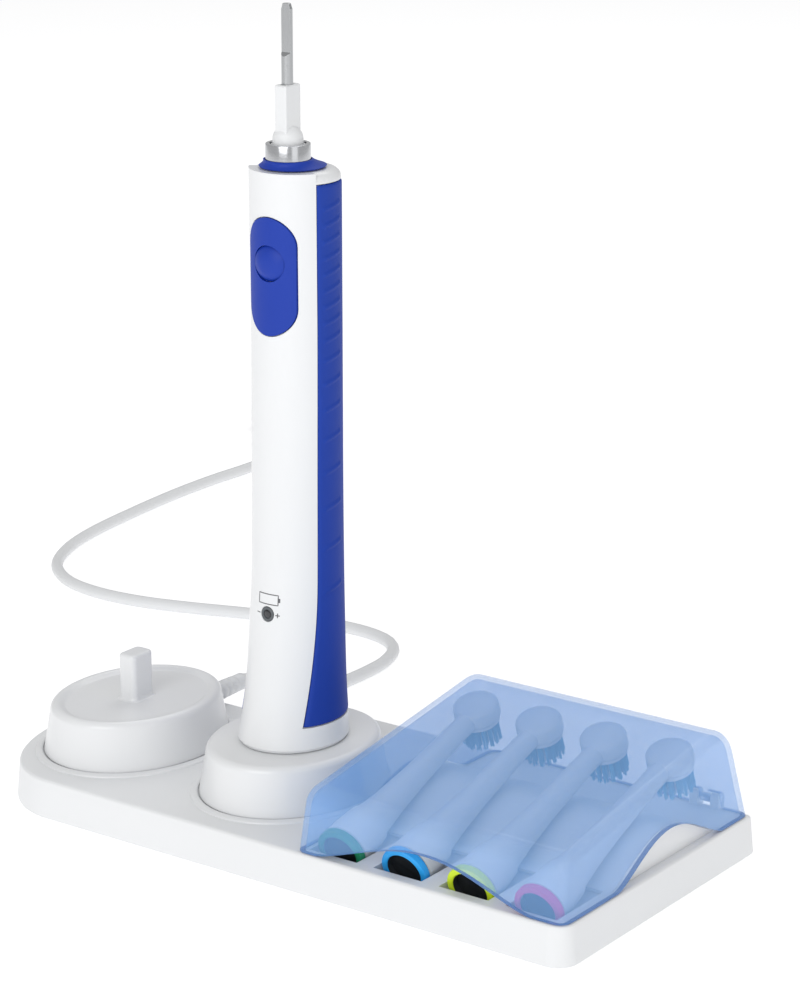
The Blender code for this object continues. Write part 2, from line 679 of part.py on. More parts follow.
def along_y(name, x, z, profile, finish=None, sides=16):
    """Turned about a line along +Y: the profile is (radius, y)."""
    place = Matrix.Translation((x, 0, z)) @ Matrix.Rotation(-math.pi / 2, 4, "X")
    return turned(name, profile, (0, 0), sides, finish, place=place)


# ---- Cord, hank and plug ----------------------------------------------------
def smooth_through(points, spacing):
    """Points at an even spacing on a Catmull-Rom curve through the given ones."""
    ends = [points[0] * 2 - points[1]] + points + [points[-1] * 2 - points[-2]]
    fine = []
    for a, b, c, d in zip(ends, ends[1:], ends[2:], ends[3:]):
        for step in range(20):
            t = step / 20
            squared, cubed = 2 * a - 5 * b + 4 * c - d, 3 * b - a - 3 * c + d
            fine.append(0.5 * (2 * b + (c - a) * t + squared * t**2 + cubed * t**3))
    fine.append(points[-1])
    total = sum((q - p).length for p, q in zip(fine, fine[1:]))
    count = max(2, round(total / spacing))
    even, walked, target = [fine[0]], 0.0, total / count
    for p, q in zip(fine, fine[1:]):
        piece = (q - p).length
        while walked + piece >= target - 1e-9 and len(even) < count:
            even.append(p + (q - p) * ((target - walked) / piece))
            target += total / count
        walked += piece
    return even + [fine[-1]]


def tube(name, route):
    curve = bpy.data.curves.new(name, "CURVE")
    curve.dimensions = "3D"
    curve.bevel_depth = CORD_DIAMETER / 2
    curve.bevel_resolution = 2
    curve.use_fill_caps = True
    spline = curve.splines.new("POLY")
    points = smooth_through(route, 2.3 * CORD_DIAMETER)
    spline.points.add(len(points) - 1)
    for spot, point in zip(spline.points, points):
        spot.co = (point.x, point.y, max(point.z, FLOOR_LINE), 1)
    curve.materials.append(material(name, "white_cord"))
    piece = bpy.data.objects.new(name, curve)
    bpy.context.scene.collection.objects.link(piece)


def make_cord(start):
    """The cord from inside its strain relief to the hank, and the hank, tie and plug behind it."""
    x, z = CHARGER_AT.x, CORD_HEIGHT
    relief_end = start + RELIEF_LENGTH
    route = [
        Vector((x, start + 1 * MM, z)), Vector((x, start + 0.5 * RELIEF_LENGTH, z)),
        Vector((x, relief_end + 1 * MM, z)),
    ]
    route.append(Vector((x + 0.1 * MM, relief_end + 9 * MM, z - 3.4 * MM)))
    route.append(Vector((x + 0.4 * MM, relief_end + 17 * MM, FLOOR_LINE + 3.2 * MM)))
    for px, py, pz in CORD_ROUTE:
        route.append(Vector((px * MM, py * MM, FLOOR_LINE if pz is None else pz * MM)))
    side = Vector((HANK_ALONG.y, -HANK_ALONG.x, 0))
    entry = HANK_NEAR - side * HANK_TURN + Vector((0, 0, FLOOR_LINE))
    route += [entry - HANK_ALONG * 6 * MM, entry - HANK_ALONG * GAP]
    tube("cord", route)

    lying = Matrix.Translation(HANK_NEAR) @ Matrix.Rotation(math.atan2(HANK_ALONG.y, HANK_ALONG.x), 4, "Z")
    low = 0.02 * MM
    hank = rounded_outline((HANK_LENGTH / 2, 0), HANK_LENGTH, HANK_WIDTH, HANK_WIDTH * 0.36, 4)
    prism("cord_hank", hank, low, low + HANK_HEIGHT, "white_cord", place=lying)
    tie_inner_y, tie_inner_z = HANK_WIDTH / 2 + GAP, low + HANK_HEIGHT + GAP
    tie_outline = [
        (tie_inner_y, low), (tie_inner_y + TIE_THICKNESS, low),
        (tie_inner_y + TIE_THICKNESS, tie_inner_z + TIE_THICKNESS),
        (-tie_inner_y - TIE_THICKNESS, tie_inner_z + TIE_THICKNESS),
        (-tie_inner_y - TIE_THICKNESS, low), (-tie_inner_y, low), (-tie_inner_y, tie_inner_z), (
            tie_inner_y, tie_inner_z
        ),
    ]
    middle = HANK_LENGTH / 2
    rings = [[(middle + end * TIE_WIDTH / 2, y, z) for y, z in tie_outline] for end in (-1, 1)]
    loft("hank_tie", rings, "grey_rubber", place=lying)

    middle_z = low + PLUG_HEIGHT / 2
    top = low + HANK_HEIGHT - CORD_DIAMETER / 2
    tail = []
    for step in range(9):
        share = step / 8
        drop = (1 - math.cos(math.pi * share)) / 2
        along = HANK_LENGTH + GAP + (TAIL_LENGTH - 2 * GAP) * share
        tail.append(lying @ Vector((along, HANK_TURN * (1 - drop), top + (middle_z - top) * drop)))
    tube("cord_tail", tail)
    neck = HANK_LENGTH + TAIL_LENGTH + GAP
    body = neck + PLUG_NECK
    sections = (
        (neck, 6 * MM, 6 * MM), (body - 2 * MM, 7.5 * MM, 7.5 * MM), (
            body + 5 * MM, PLUG_WIDTH * 0.8, PLUG_HEIGHT * 0.9
        ),
        (body + 12 * MM, PLUG_WIDTH, PLUG_HEIGHT), (
            body + PLUG_LENGTH - PLUG_NECK - 1 * MM, PLUG_WIDTH, PLUG_HEIGHT
        ),
        (body + PLUG_LENGTH - PLUG_NECK, PLUG_WIDTH - 2 * MM, PLUG_HEIGHT - 2 * MM),
    )
    rings = []
    for x, width, height in sections:
        shape = rounded_outline((0, middle_z), width, height, min(width, height) * 0.35)
        rings.append([(x, -y, z) for y, z in shape])
    loft("plug_body", rings, "white_plastic", place=lying)
    face = body + PLUG_LENGTH - PLUG_NECK + GAP
    for index, side in enumerate((-1, 1)):
        rings = []
        for x, radius in (
            (0, PLUG_PIN_RADIUS), (PLUG_PIN_LENGTH - 1 * MM, PLUG_PIN_RADIUS),
            (PLUG_PIN_LENGTH, PLUG_PIN_RADIUS * 0.6),
        ):
            circle = oval((side * PIN_PITCH / 2, middle_z), radius, radius, 0, 14)
            rings.append([(face + x, y, z) for y, z, _ in circle])
        loft(f"plug_pin_{index + 1}", rings, "steel", place=lying)


# ---- Handle -----------------------------------------------------------------
def handle_section(height):
    """Half width, half depth and setback of the handle's oval at a height above the ground."""
    rows = HANDLE_SECTIONS
    height = min(max(height / MM, rows[0][0]), rows[-1][0])
    for low, high in zip(rows, rows[1:]):
        if height <= high[0]:
            share = (height - low[0]) / (high[0] - low[0])
            return [(a + (b - a) * share) * MM for a, b in zip(low[1:], high[1:])]
    return [value * MM for value in rows[-1][1:]]


def handle_front(height, x=0.0):
    """Where the handle's front skin is, in Y from the shaft, at a height and a distance to the side."""
    half_x, half_y, back = handle_section(height)
    return back - half_y * math.sqrt(max(0.0, 1 - (x / half_x) ** 2))


def handle_ring(height, inset=0.0, sides=40):
    half_x, half_y, back = handle_section(height)
    centre = (HOLDER_AT.x, HOLDER_AT.y + back)
    return oval(centre, half_x - inset, half_y - inset, height, sides)


def grip_edge(height):
    share = min(1.0, (height - GRIP_BOTTOM) / (GRIP_EDGE_STRAIGHT_FROM - GRIP_BOTTOM))
    return GRIP_EDGE_LOW + (GRIP_EDGE - GRIP_EDGE_LOW) * math.sin(share * math.pi / 2)


def skin_point(height, angle, inset):
    """A point of the handle's skin, the angle counted from the front towards +X."""
    half_x, half_y, back = handle_section(height)
    x = (half_x - inset) * math.sin(angle)
    y = back - (half_y - inset) * math.cos(angle)
    return (HOLDER_AT.x + x, HOLDER_AT.y + y, height)


def shell_ring(height, recess):
    """The shell's outer ring, sunk by the recess where the grip covers it."""
    edge = grip_edge(height)
    front = [edge * (i / 5 - 1) for i in range(11)]
    rest = [edge + (FULL_TURN - 2 * edge) * (i + 0.02) / 21.04 for i in range(22)]
    return [skin_point(height, a, 0) for a in front] + [skin_point(height, a, recess) for a in rest]


GRIP_LEVELS = (38, 47, 59, 77, 104, 150)


def make_handle_shell():
    recess = GRIP_THICKNESS + GAP - GRIP_PROUD
    rings = [shell_ring(row[0] * MM, 0) for row in HANDLE_SECTIONS[:2]]
    rings += [shell_ring(GRIP_BOTTOM - 0.05 * MM, 0), shell_ring(GRIP_BOTTOM, recess)]
    rings += [shell_ring(z * MM, recess) for z in GRIP_LEVELS]
    rings += [shell_ring(GRIP_TOP, recess), shell_ring(GRIP_TOP + 0.05 * MM, 0)]
    rings += [shell_ring(row[0] * MM, 0) for row in HANDLE_SECTIONS[-2:]]
    shell = loft("handle_shell", rings, "white_plastic")
    wall = SHELL_WALL + recess
    ceiling = SHELL_TOP - NECK_THICKNESS
    inner = [handle_ring(z * MM, wall, 24) for z in (HANDLE_FOOT / MM + 0.9, 38, 47, 59, 77, 104, 150)]
    bottom = [(x, y, HANDLE_FOOT - 1 * MM) for x, y, _ in inner[0]]
    cut(shell, loft("cutter_shell_hollow", [bottom] + inner + [handle_ring(ceiling, wall, 24)]))
    mouth = COLLAR_OUTER - COLLAR_WALL
    cut(
        shell,
        turned(
            "cutter_shell_mouth", [(mouth, ceiling - 2 * MM), (mouth, SHELL_TOP + 1 * MM)], HOLDER_AT, 24
        ),
    )
    return shell


def make_grip():
    """The soft wrap over both sides and the back."""
    lean = GAP / (12 * MM)
    rings = []
    heights = [GRIP_BOTTOM + GAP] + [z * MM for z in GRIP_LEVELS] + [GRIP_TOP - GAP]
    for height in heights:
        edge = grip_edge(height) + lean
        turns = [edge + (FULL_TURN - 2 * edge) * i / 21 for i in range(22)]
        outer = [skin_point(height, a, -GRIP_PROUD) for a in turns]
        inner = [skin_point(height, a, GRIP_THICKNESS - GRIP_PROUD) for a in reversed(turns)]
        rings.append(outer + inner)
    return loft("rubber_grip", rings, "blue_rubber")


def obround(half_width, half_height, middle, steps=8):
    """A slot outline in X and Z about the handle's front, with round ends."""
    points = []
    for end in (1, -1):
        for i in range(steps + 1):
            turn = math.pi * i / steps if end > 0 else math.pi * (1 + i / steps)
            rise = end * (half_height - half_width) + half_width * math.sin(turn)
            points.append((half_width * math.cos(turn), middle + rise))
    return points


def front_prism(name, outline, near, far, finish=None):
    """An outline in X and Z carried along Y, in front of the shaft."""
    rings = [[(HOLDER_AT.x + x, HOLDER_AT.y + y, z) for x, z in outline] for y in (near, far)]
    return loft(name, rings, finish)


def make_switch(shell):
    low, high = PAD_MIDDLE - PAD_HEIGHT / 2 - 4 * MM, PAD_MIDDLE + PAD_HEIGHT / 2 + 4 * MM

    def sleeve(name, inset, finish=None):
        return loft(name, [handle_ring(z, inset, 48) for z in (low, high)], finish)

    depth = handle_front(PAD_MIDDLE)
    near, far = depth - 3 * MM, -3 * MM
    pocket = front_prism(
        "cutter_pad_pocket", obround(PAD_WIDTH / 2 + GAP, PAD_HEIGHT / 2 + GAP, PAD_MIDDLE), near, far
    )
    sunk = PAD_THICKNESS - PAD_PROUD
    cut(pocket, sleeve("cutter_pad_floor", sunk + GAP))
    cut(shell, pocket)
    pad = front_prism(
        "switch_pad", obround(PAD_WIDTH / 2, PAD_HEIGHT / 2, PAD_MIDDLE), near, far, "blue_rubber"
    )
    keep_inside(pad, sleeve("cutter_pad_face", -PAD_PROUD))
    cut(pad, sleeve("cutter_pad_back", sunk))
    round_hole = [
        (
            math.cos(FULL_TURN * i / 24) * (BUTTON_RADIUS + GAP),
            BUTTON_AT + math.sin(FULL_TURN * i / 24) * (BUTTON_RADIUS + GAP),
        )
        for i in range(24)
    ]
    hole = front_prism("cutter_button_hole", round_hole, near, far + 1 * MM)
    cut(pad, hole)
    cut(shell, hole)
    return pad


def make_button():
    face = handle_front(BUTTON_AT) - BUTTON_PROUD
    back = -BOARD_FRONT - 1.6 * MM - BUTTON_TRAVEL - 0.3 * MM
    place = Matrix.Translation((HOLDER_AT.x, HOLDER_AT.y, BUTTON_AT)) @ Matrix.Rotation(
        -math.pi / 2, 4, "X"
    )
    profile = [
        (BUTTON_RADIUS * 0.5, face), (BUTTON_RADIUS * 0.85, face + 0.25 * MM), (
            BUTTON_RADIUS, face + 0.8 * MM
        ), (BUTTON_RADIUS, back),
    ]
    return turned("power_button", profile, (0, 0), 24, "blue_rubber", place=place)


def make_led(shell):
    front = handle_front(LED_AT)
    place = Matrix.Translation((HOLDER_AT.x, HOLDER_AT.y, LED_AT)) @ Matrix.Rotation(-math.pi / 2, 4, "X")
    hole = LED_RADIUS + GAP
    cut(
        shell,
        turned(
            "cutter_led_hole", [(hole, front - 1 * MM), (hole, front + 5 * MM)], (0, 0), 16, place=place
        ),
    )
    profile = [
        (LED_RADIUS * 0.8, front - 0.05 * MM), (LED_RADIUS, front + 0.2 * MM),
        (LED_RADIUS, front + 2.8 * MM),
    ]
    return turned("led_lens", profile, (0, 0), 16, "lens_smoke", place=place)


def make_handle_top():
    """Seal, steel collar, post and the bush that the drive shaft turns in."""
    seal_foot = SHELL_TOP + GAP
    opening = COLLAR_OUTER + GAP
    centre = (HOLDER_AT.x, HOLDER_AT.y + SEAL_BACK)
    seal = loft(
        "neck_seal",
        [
            oval(HOLDER_AT, opening, opening, seal_foot, 32),
            oval(centre, SEAL_X, SEAL_Y, seal_foot, 32),
            oval(HOLDER_AT, opening + 0.5 * MM, opening + 0.5 * MM, COLLAR_BOTTOM + 0.4 * MM, 32),
            oval(HOLDER_AT, opening, opening, COLLAR_BOTTOM + 0.4 * MM, 32),
        ],
        "blue_rubber", closed=True,
    )
    inner = COLLAR_OUTER - COLLAR_WALL
    rim = 0.3 * MM
    collar = turned(
        "steel_collar",
        [
            (inner, SHELL_TOP + GAP), (COLLAR_OUTER, SHELL_TOP + GAP), (COLLAR_OUTER, COLLAR_TOP - rim),
            (COLLAR_OUTER - rim, COLLAR_TOP), (inner, COLLAR_TOP),
        ],
        HOLDER_AT, 32, "steel", closed=True,
    )
    flange = inner - GAP
    foot = SHELL_TOP - NECK_THICKNESS + GAP
    deck = COLLAR_TOP - 0.4 * MM
    profile = [(flange, foot), (flange, deck), (POST_DOME, deck + 0.05 * MM), (POST_DOME, deck + 1.6 * MM)]
    profile += [
        (
            POST_DOME * math.cos(math.radians(turn)),
            deck + 1.6 * MM + POST_DOME * 0.9 * math.sin(math.radians(turn)),
        )
        for turn in (25, 50, 70)
    ]
    post = turned("shaft_post", profile, HOLDER_AT, 24, "white_plastic")
    outline = rounded_outline(HOLDER_AT, POST_X, POST_Y, 0.5 * MM, 2)
    tip = rounded_outline(HOLDER_AT, POST_X - 0.5 * MM, POST_Y - 0.5 * MM, 0.4 * MM, 2)
    join(
        post,
        loft(
            "cutter_post_prism",
            [level(outline, deck), level(outline, POST_TOP - 0.3 * MM), level(tip, POST_TOP)],
        ),
    )
    bore = SHAFT_RADIUS + RUNNING
    cut(post, turned("cutter_post_bore", [(bore, foot - 1 * MM), (bore, POST_TOP + 1 * MM)], HOLDER_AT, 24))
    bush_outer = 3.2 * MM
    bush_foot = BEARING_DECK_TOP - 4 * MM
    bush = turned(
        "shaft_bush",
        [
            (bore, bush_foot), (bush_outer, bush_foot), (bush_outer, BEARING_DECK_TOP),
            (bore, BEARING_DECK_TOP),
        ],
        HOLDER_AT, 24, "brass", closed=True,
    )
    return [seal, collar, post, bush]


def make_drive_shaft():
    """The shaft, flat-sided at the top, and the rocker on its lower end."""
    foot = GEAR_FOOT + GEAR_THICKNESS + 3.2 * MM
    shaft = turned(
        "drive_shaft",
        [(SHAFT_RADIUS, foot), (SHAFT_RADIUS, SHAFT_TOP - 1.4 * MM), (SHAFT_RADIUS * 0.7, SHAFT_TOP)],
        HOLDER_AT, 24, "steel",
    )
    flat = HOLDER_AT.y - SHAFT_FLAT_AT
    outline = [
        (flat, SHAFT_FLAT_FROM), (flat, SHAFT_TOP + 1 * MM), (flat - 4 * MM, SHAFT_TOP + 1 * MM), (
            flat - 4 * MM, SHAFT_FLAT_FROM - 4 * MM
        ),
    ]
    cut(shaft, side_plate("cutter_shaft_flat", HOLDER_AT.x, 8 * MM, outline))
    low = foot + 1 * MM
    hub = SHAFT_RADIUS + GAP
    arm = [
        (-4.6, -1.2), (-2.6, -2.6), (2.6, -2.6), (4.6, -1.2), (4.6, 1.2), (2.6, 2.6), (-2.6, 2.6),
        (-4.6, 1.2),
    ]
    rocker = prism(
        "rocker", [(HOLDER_AT.x + x * MM, HOLDER_AT.y + y * MM) for x, y in arm], low, low + 2 * MM,
        "white_plastic",
    )
    cut(rocker, turned("cutter_rocker_bore", [(hub, low - 1 * MM), (hub, low + 3 * MM)], HOLDER_AT, 24))
    return [shaft, rocker]


def gear_outline(teeth, centre, first):
    """Straight-flanked teeth, thinned for backlash, the first one pointing along the given angle."""
    pitch = GEAR_MODULE * teeth / 2
    root, tip = pitch - 1.25 * GEAR_MODULE, pitch + 0.8 * GEAR_MODULE
    points = []
    for tooth in range(teeth):
        for offset, radius in ((-0.30, root), (-0.11, tip), (0.11, tip), (0.30, root)):
            turn = first + FULL_TURN * (tooth + offset) / teeth
            points.append((centre[0] + radius * math.cos(turn), centre[1] + radius * math.sin(turn)))
    return points


def make_gears():
    top = GEAR_FOOT + GEAR_THICKNESS
    crank = prism(
        "crank_gear", gear_outline(CRANK_TEETH, HOLDER_AT, math.pi / 2), GEAR_FOOT, top, "white_plastic"
    )
    bore = 0.9 * MM + RUNNING
    cut(
        crank,
        turned(
            "cutter_crank_bore", [(bore, GEAR_FOOT - 1 * MM), (bore, GEAR_FOOT + 1.8 * MM)], HOLDER_AT, 16
        ),
    )
    at = (HOLDER_AT.x + CRANK_THROW, HOLDER_AT.y)
    join(
        crank, turned("cutter_crank_pin", [(0.7 * MM, top - 0.5 * MM), (0.7 * MM, top + 2.0 * MM)], at, 12)
    )
    motor_at = (HOLDER_AT.x, HOLDER_AT.y + MESH_DISTANCE)
    first = -math.pi / 2 + math.pi / PINION_TEETH
    pinion = prism("motor_pinion", gear_outline(PINION_TEETH, motor_at, first), GEAR_FOOT, top, "brass")
    spindle_foot = DECK_TOP - DECK_THICKNESS - 0.2 * MM
    join(
        pinion,
        turned("cutter_spindle", [(0.75 * MM, spindle_foot), (0.75 * MM, top - 0.5 * MM)], motor_at, 12),
    )
    return crank, pinion


def make_handle_inside():
    """Frame, motor, battery, circuit board, switch and charging coil."""
    made = []
    motor_at = (HOLDER_AT.x, HOLDER_AT.y + MESH_DISTANCE)
    motor_top = DECK_TOP - DECK_THICKNESS - GAP - 0.2 * MM
    motor_foot = motor_top - MOTOR_LENGTH
    made.append(turned(
        "motor",
        [
            (MOTOR_RADIUS - 0.6 * MM, motor_foot), (MOTOR_RADIUS, motor_foot + 0.6 * MM), (
                MOTOR_RADIUS, motor_top - 0.4 * MM
            ),
            (MOTOR_RADIUS - 0.4 * MM, motor_top),
        ],
        motor_at, 24, "steel",
    ))
    battery_at = (HOLDER_AT.x, HOLDER_AT.y + BATTERY_BACK)
    battery_top = BATTERY_FOOT + BATTERY_LENGTH
    made.append(turned(
        "battery",
        [
            (BATTERY_RADIUS - 0.4 * MM, BATTERY_FOOT), (BATTERY_RADIUS, BATTERY_FOOT + 0.4 * MM), (
                BATTERY_RADIUS, battery_top - 1 * MM
            ),
            (BATTERY_RADIUS - 1 * MM, battery_top), (2.6 * MM, battery_top), (
                2.6 * MM, battery_top + 1.2 * MM
            ),
        ],
        battery_at, 24, "battery_wrap",
    ))
    made.append(make_chassis(battery_top + 1.2 * MM))
    board_y = HOLDER_AT.y - BOARD_FRONT
    made.append(block(
        "handle_circuit_board",
        (HOLDER_AT.x - BOARD_WIDTH / 2, board_y, BATTERY_FOOT - 4 * MM),
        (HOLDER_AT.x + BOARD_WIDTH / 2, board_y + BOARD_THICKNESS, BUTTON_AT + 7 * MM),
        "board_green",
    ))
    made.append(block(
        "push_switch",
        (HOLDER_AT.x - 2.4 * MM, board_y - GAP - 1.2 * MM, BUTTON_AT - 2.4 * MM),
        (HOLDER_AT.x + 2.4 * MM, board_y - GAP, BUTTON_AT + 2.4 * MM),
        "steel",
    ))
    return made


def make_chassis(battery_clear):
    """A spine behind the motor and battery with a gear deck, a bearing deck and a battery end wall."""
    spine_front = HOLDER_AT.y + BATTERY_BACK + BATTERY_RADIUS + GAP
    x = HOLDER_AT.x
    chassis = block(
        "chassis",
        (x - SPINE_WIDTH / 2, spine_front, BATTERY_FOOT - 3 * MM),
        (x + SPINE_WIDTH / 2, spine_front + SPINE_THICKNESS, BEARING_DECK_TOP),
        "white_plastic",
    )
    overlap = spine_front + SPINE_THICKNESS / 2
    decks = (
        ("bearing", BEARING_DECK_TOP - DECK_THICKNESS, BEARING_DECK_TOP, 5.3 * MM, -4.8 * MM),
        ("gear", DECK_TOP - DECK_THICKNESS, DECK_TOP, 5.5 * MM, -3.2 * MM),
        ("battery_top", battery_clear + GAP, battery_clear + GAP + DECK_THICKNESS, 5.5 * MM, -2.4 * MM),
        ("battery_end", BATTERY_FOOT - 3 * MM, BATTERY_FOOT - GAP, 5.5 * MM, -2.4 * MM),
    )
    for name, low, high, half, front in decks:
        join(
            chassis,
            block(f"cutter_{name}_deck", (x - half, HOLDER_AT.y + front, low), (x + half, overlap, high)),
        )
    bush = 3.2 * MM + GAP
    cut(
        chassis,
        turned(
            "cutter_bush_seat", [(bush, BEARING_DECK_TOP - 6 * MM), (bush, BEARING_DECK_TOP + 2 * MM)],
            HOLDER_AT, 24,
        ),
    )
    motor_at = (HOLDER_AT.x, HOLDER_AT.y + MESH_DISTANCE)
    cut(
        chassis,
        turned(
            "cutter_spindle_hole", [(1.3 * MM, DECK_TOP - 4 * MM), (1.3 * MM, DECK_TOP + 2 * MM)],
            motor_at, 16,
        ),
    )
    join(
        chassis,
        turned(
            "cutter_crank_axle", [(0.9 * MM, DECK_TOP - 0.5 * MM), (0.9 * MM, GEAR_FOOT + 1.5 * MM)],
            HOLDER_AT, 16,
        ),
    )
    return chassis


def make_handle_base():
    """The cap that closes the handle's foot, with the socket for the peg, its seal and the charging coil."""
    wall = SHELL_WALL + GRIP_THICKNESS + GAP - GRIP_PROUD
    low, high = HANDLE_FOOT + 0.1 * MM, HANDLE_FOOT + 2.4 * MM
    rim = handle_ring(HANDLE_FOOT + 0.9 * MM, wall + GAP, 24)
    rings = [[(x, y, low) for x, y, _ in rim], rim, handle_ring(high, wall + GAP, 24)]
    cap = loft("base_cap", rings, "white_plastic")
    clear = 0.5 * MM
    socket_wall = 1.1 * MM
    socket_top = DOCK_TOP + PEG_HEIGHT + clear + socket_wall
    grown = 2 * (clear + socket_wall)
    tower = rounded_outline(HOLDER_AT, PEG_X + grown, PEG_Y + grown, PEG_CORNER + clear)
    join(cap, prism("cutter_socket_wall", tower, low + 0.5 * MM, socket_top))
    bore = rounded_outline(HOLDER_AT, PEG_X + 2 * clear, PEG_Y + 2 * clear, PEG_CORNER)
    cut(cap, prism("cutter_socket", bore, low - 1 * MM, socket_top - socket_wall))
    thick = 1.3 * MM
    foot = high + GAP
    outer, inner = wall + 2 * GAP, wall + 2 * GAP + thick
    seal = loft(
        "base_seal",
        [
            handle_ring(z, inset, 24)
            for z, inset in ((foot, inner), (foot, outer), (foot + thick, outer), (foot + thick, inner))
        ],
        "grey_rubber", closed=True,
    )
    coil_foot = foot + thick + GAP
    coil_in = rounded_outline(
        HOLDER_AT, PEG_X + grown + 2 * GAP, PEG_Y + grown + 2 * GAP, PEG_CORNER + clear
    )
    coil_out = rounded_outline(
        HOLDER_AT, PEG_X + grown + 5 * MM, PEG_Y + grown + 5 * MM, PEG_CORNER + clear + 1.5 * MM
    )
    coil = loft(
        "charging_coil",
        [
            level(coil_in, coil_foot), level(coil_out, coil_foot), level(coil_out, coil_foot + 6 * MM),
            level(coil_in, coil_foot + 6 * MM),
        ],
        "copper", closed=True,
    )
    return [cap, seal, coil]


def make_handle():
    lift = pivot("handle_lift_axis", (HOLDER_AT.x, HOLDER_AT.y, HANDLE_FOOT))
    shell = make_handle_shell()
    fixed = [shell, make_grip(), make_switch(shell), make_led(shell)]
    fixed += make_handle_top() + make_handle_inside() + make_handle_base()
    for piece in fixed:
        hang(piece, lift)
    button_axis = pivot(
        "power_button_axis", (HOLDER_AT.x, HOLDER_AT.y + handle_front(BUTTON_AT), BUTTON_AT), lift
    )
    hang(make_button(), button_axis)
    drive_axis = pivot("drive_shaft_axis", (HOLDER_AT.x, HOLDER_AT.y, SHELL_TOP), lift)
    for piece in make_drive_shaft():
        hang(piece, drive_axis)
    crank, pinion = make_gears()
    hang(crank, pivot("crank_gear_axis", (HOLDER_AT.x, HOLDER_AT.y, GEAR_FOOT), lift))
    hang(pinion, pivot("motor_pinion_axis", (HOLDER_AT.x, HOLDER_AT.y + MESH_DISTANCE, GEAR_FOOT), lift))


# ---- Lid --------------------------------------------------------------------
def fillet(corner, before, after, radius, steps):
    """Points of a round corner between two straight runs, in Y and Z."""
    corner, before, after = Vector(corner), Vector(before), Vector(after)
    u, v = (before - corner).normalized(), (after - corner).normalized()
    half = math.acos(max(-1.0, min(1.0, u.dot(v)))) / 2
    centre = corner + (u + v).normalized() * radius / math.sin(half)
    first = corner + u * radius / math.tan(half) - centre
    last = corner + v * radius / math.tan(half) - centre
    sweep = math.atan2(first.x * last.y - first.y * last.x, first.dot(last))
    points = []
    for step in range(steps + 1):
        turn = sweep * step / steps
        c, s = math.cos(turn), math.sin(turn)
        points.append(centre + Vector((first.x * c - first.y * s, first.x * s + first.y * c)))
    return points


def lid_profile(inset, floor):
    """The lid's section in Y and Z, moved inwards by the inset, from the front foot to the back."""
    front = -TRAY_DEPTH / 2 + TRAY_DRAFT + LID_EDGE_IN
    back = TRAY_DEPTH / 2 - TRAY_DRAFT - LID_EDGE_IN
    foot = TRAY_TOP + LID_GAP
    front_top = Vector((front + LID_FRONT_LEAN, LID_FRONT_HEIGHT))
    back_top = Vector((back - LID_BACK_LEAN, LID_BACK_HEIGHT + 1.6 * MM))
    corners = [Vector((front, foot)), front_top, back_top, Vector((back, foot))]
    lines = []
    for a, b in zip(corners, corners[1:]):
        inward = Vector(((b - a).y, -(b - a).x)).normalized() * inset
        lines.append((a + inward, b + inward))
    moved = [lines[0][0]]
    for (a, b), (c, d) in zip(lines, lines[1:]):
        r, s = b - a, d - c
        t = ((c - a).x * s.y - (c - a).y * s.x) / (r.x * s.y - r.y * s.x)
        moved.append(a + r * t)
    moved.append(lines[-1][1])
    for end, other in ((0, 1), (3, 2)):
        run = moved[end] - moved[other]
        moved[end] = moved[other] + run * ((moved[other].y - floor) / -run.y)
    points = [moved[0]]
    points += fillet(moved[1], moved[0], moved[2], max(LID_FRONT_FILLET - inset, 1 * MM), 5)
    points += fillet(moved[2], moved[1], moved[3], max(LID_BACK_FILLET - inset, 2 * MM), 6)
    return points + [moved[3]]


def lid_skin(name, inset, floor, finish=None):
    """A closed block with the lid's outer shape, moved inwards by the inset."""
    left = CASE_LEFT + inset
    right = TRAY_LENGTH / 2 - TRAY_DRAFT - LID_EDGE_IN - inset
    radius = max(LID_FILLET - inset, 0.8 * MM)
    base = lid_profile(inset, floor)
    lowest = base[0].y
    highest = max(point.y for point in base)
    rings = []
    steps = 4
    for step in range(steps + 1):
        turn = math.pi / 2 * step / steps
        rings.append((left, 1, radius * (1 - math.cos(turn)), radius * (1 - math.sin(turn))))
    for step in reversed(range(steps + 1)):
        turn = math.pi / 2 * step / steps
        rings.append((right, -1, radius * (1 - math.cos(turn)), radius * (1 - math.sin(turn))))
    loops = []
    for edge, sign, inwards, sink in rings:
        shape = lid_profile(inset + sink, floor)
        loops.append([
            (
                edge + sign * (inwards + LID_SIDE_DRAFT * (p.y - lowest) / (highest - lowest)), p.x, p.y
            ) for p in shape
        ])
    return loft(name, loops, finish)


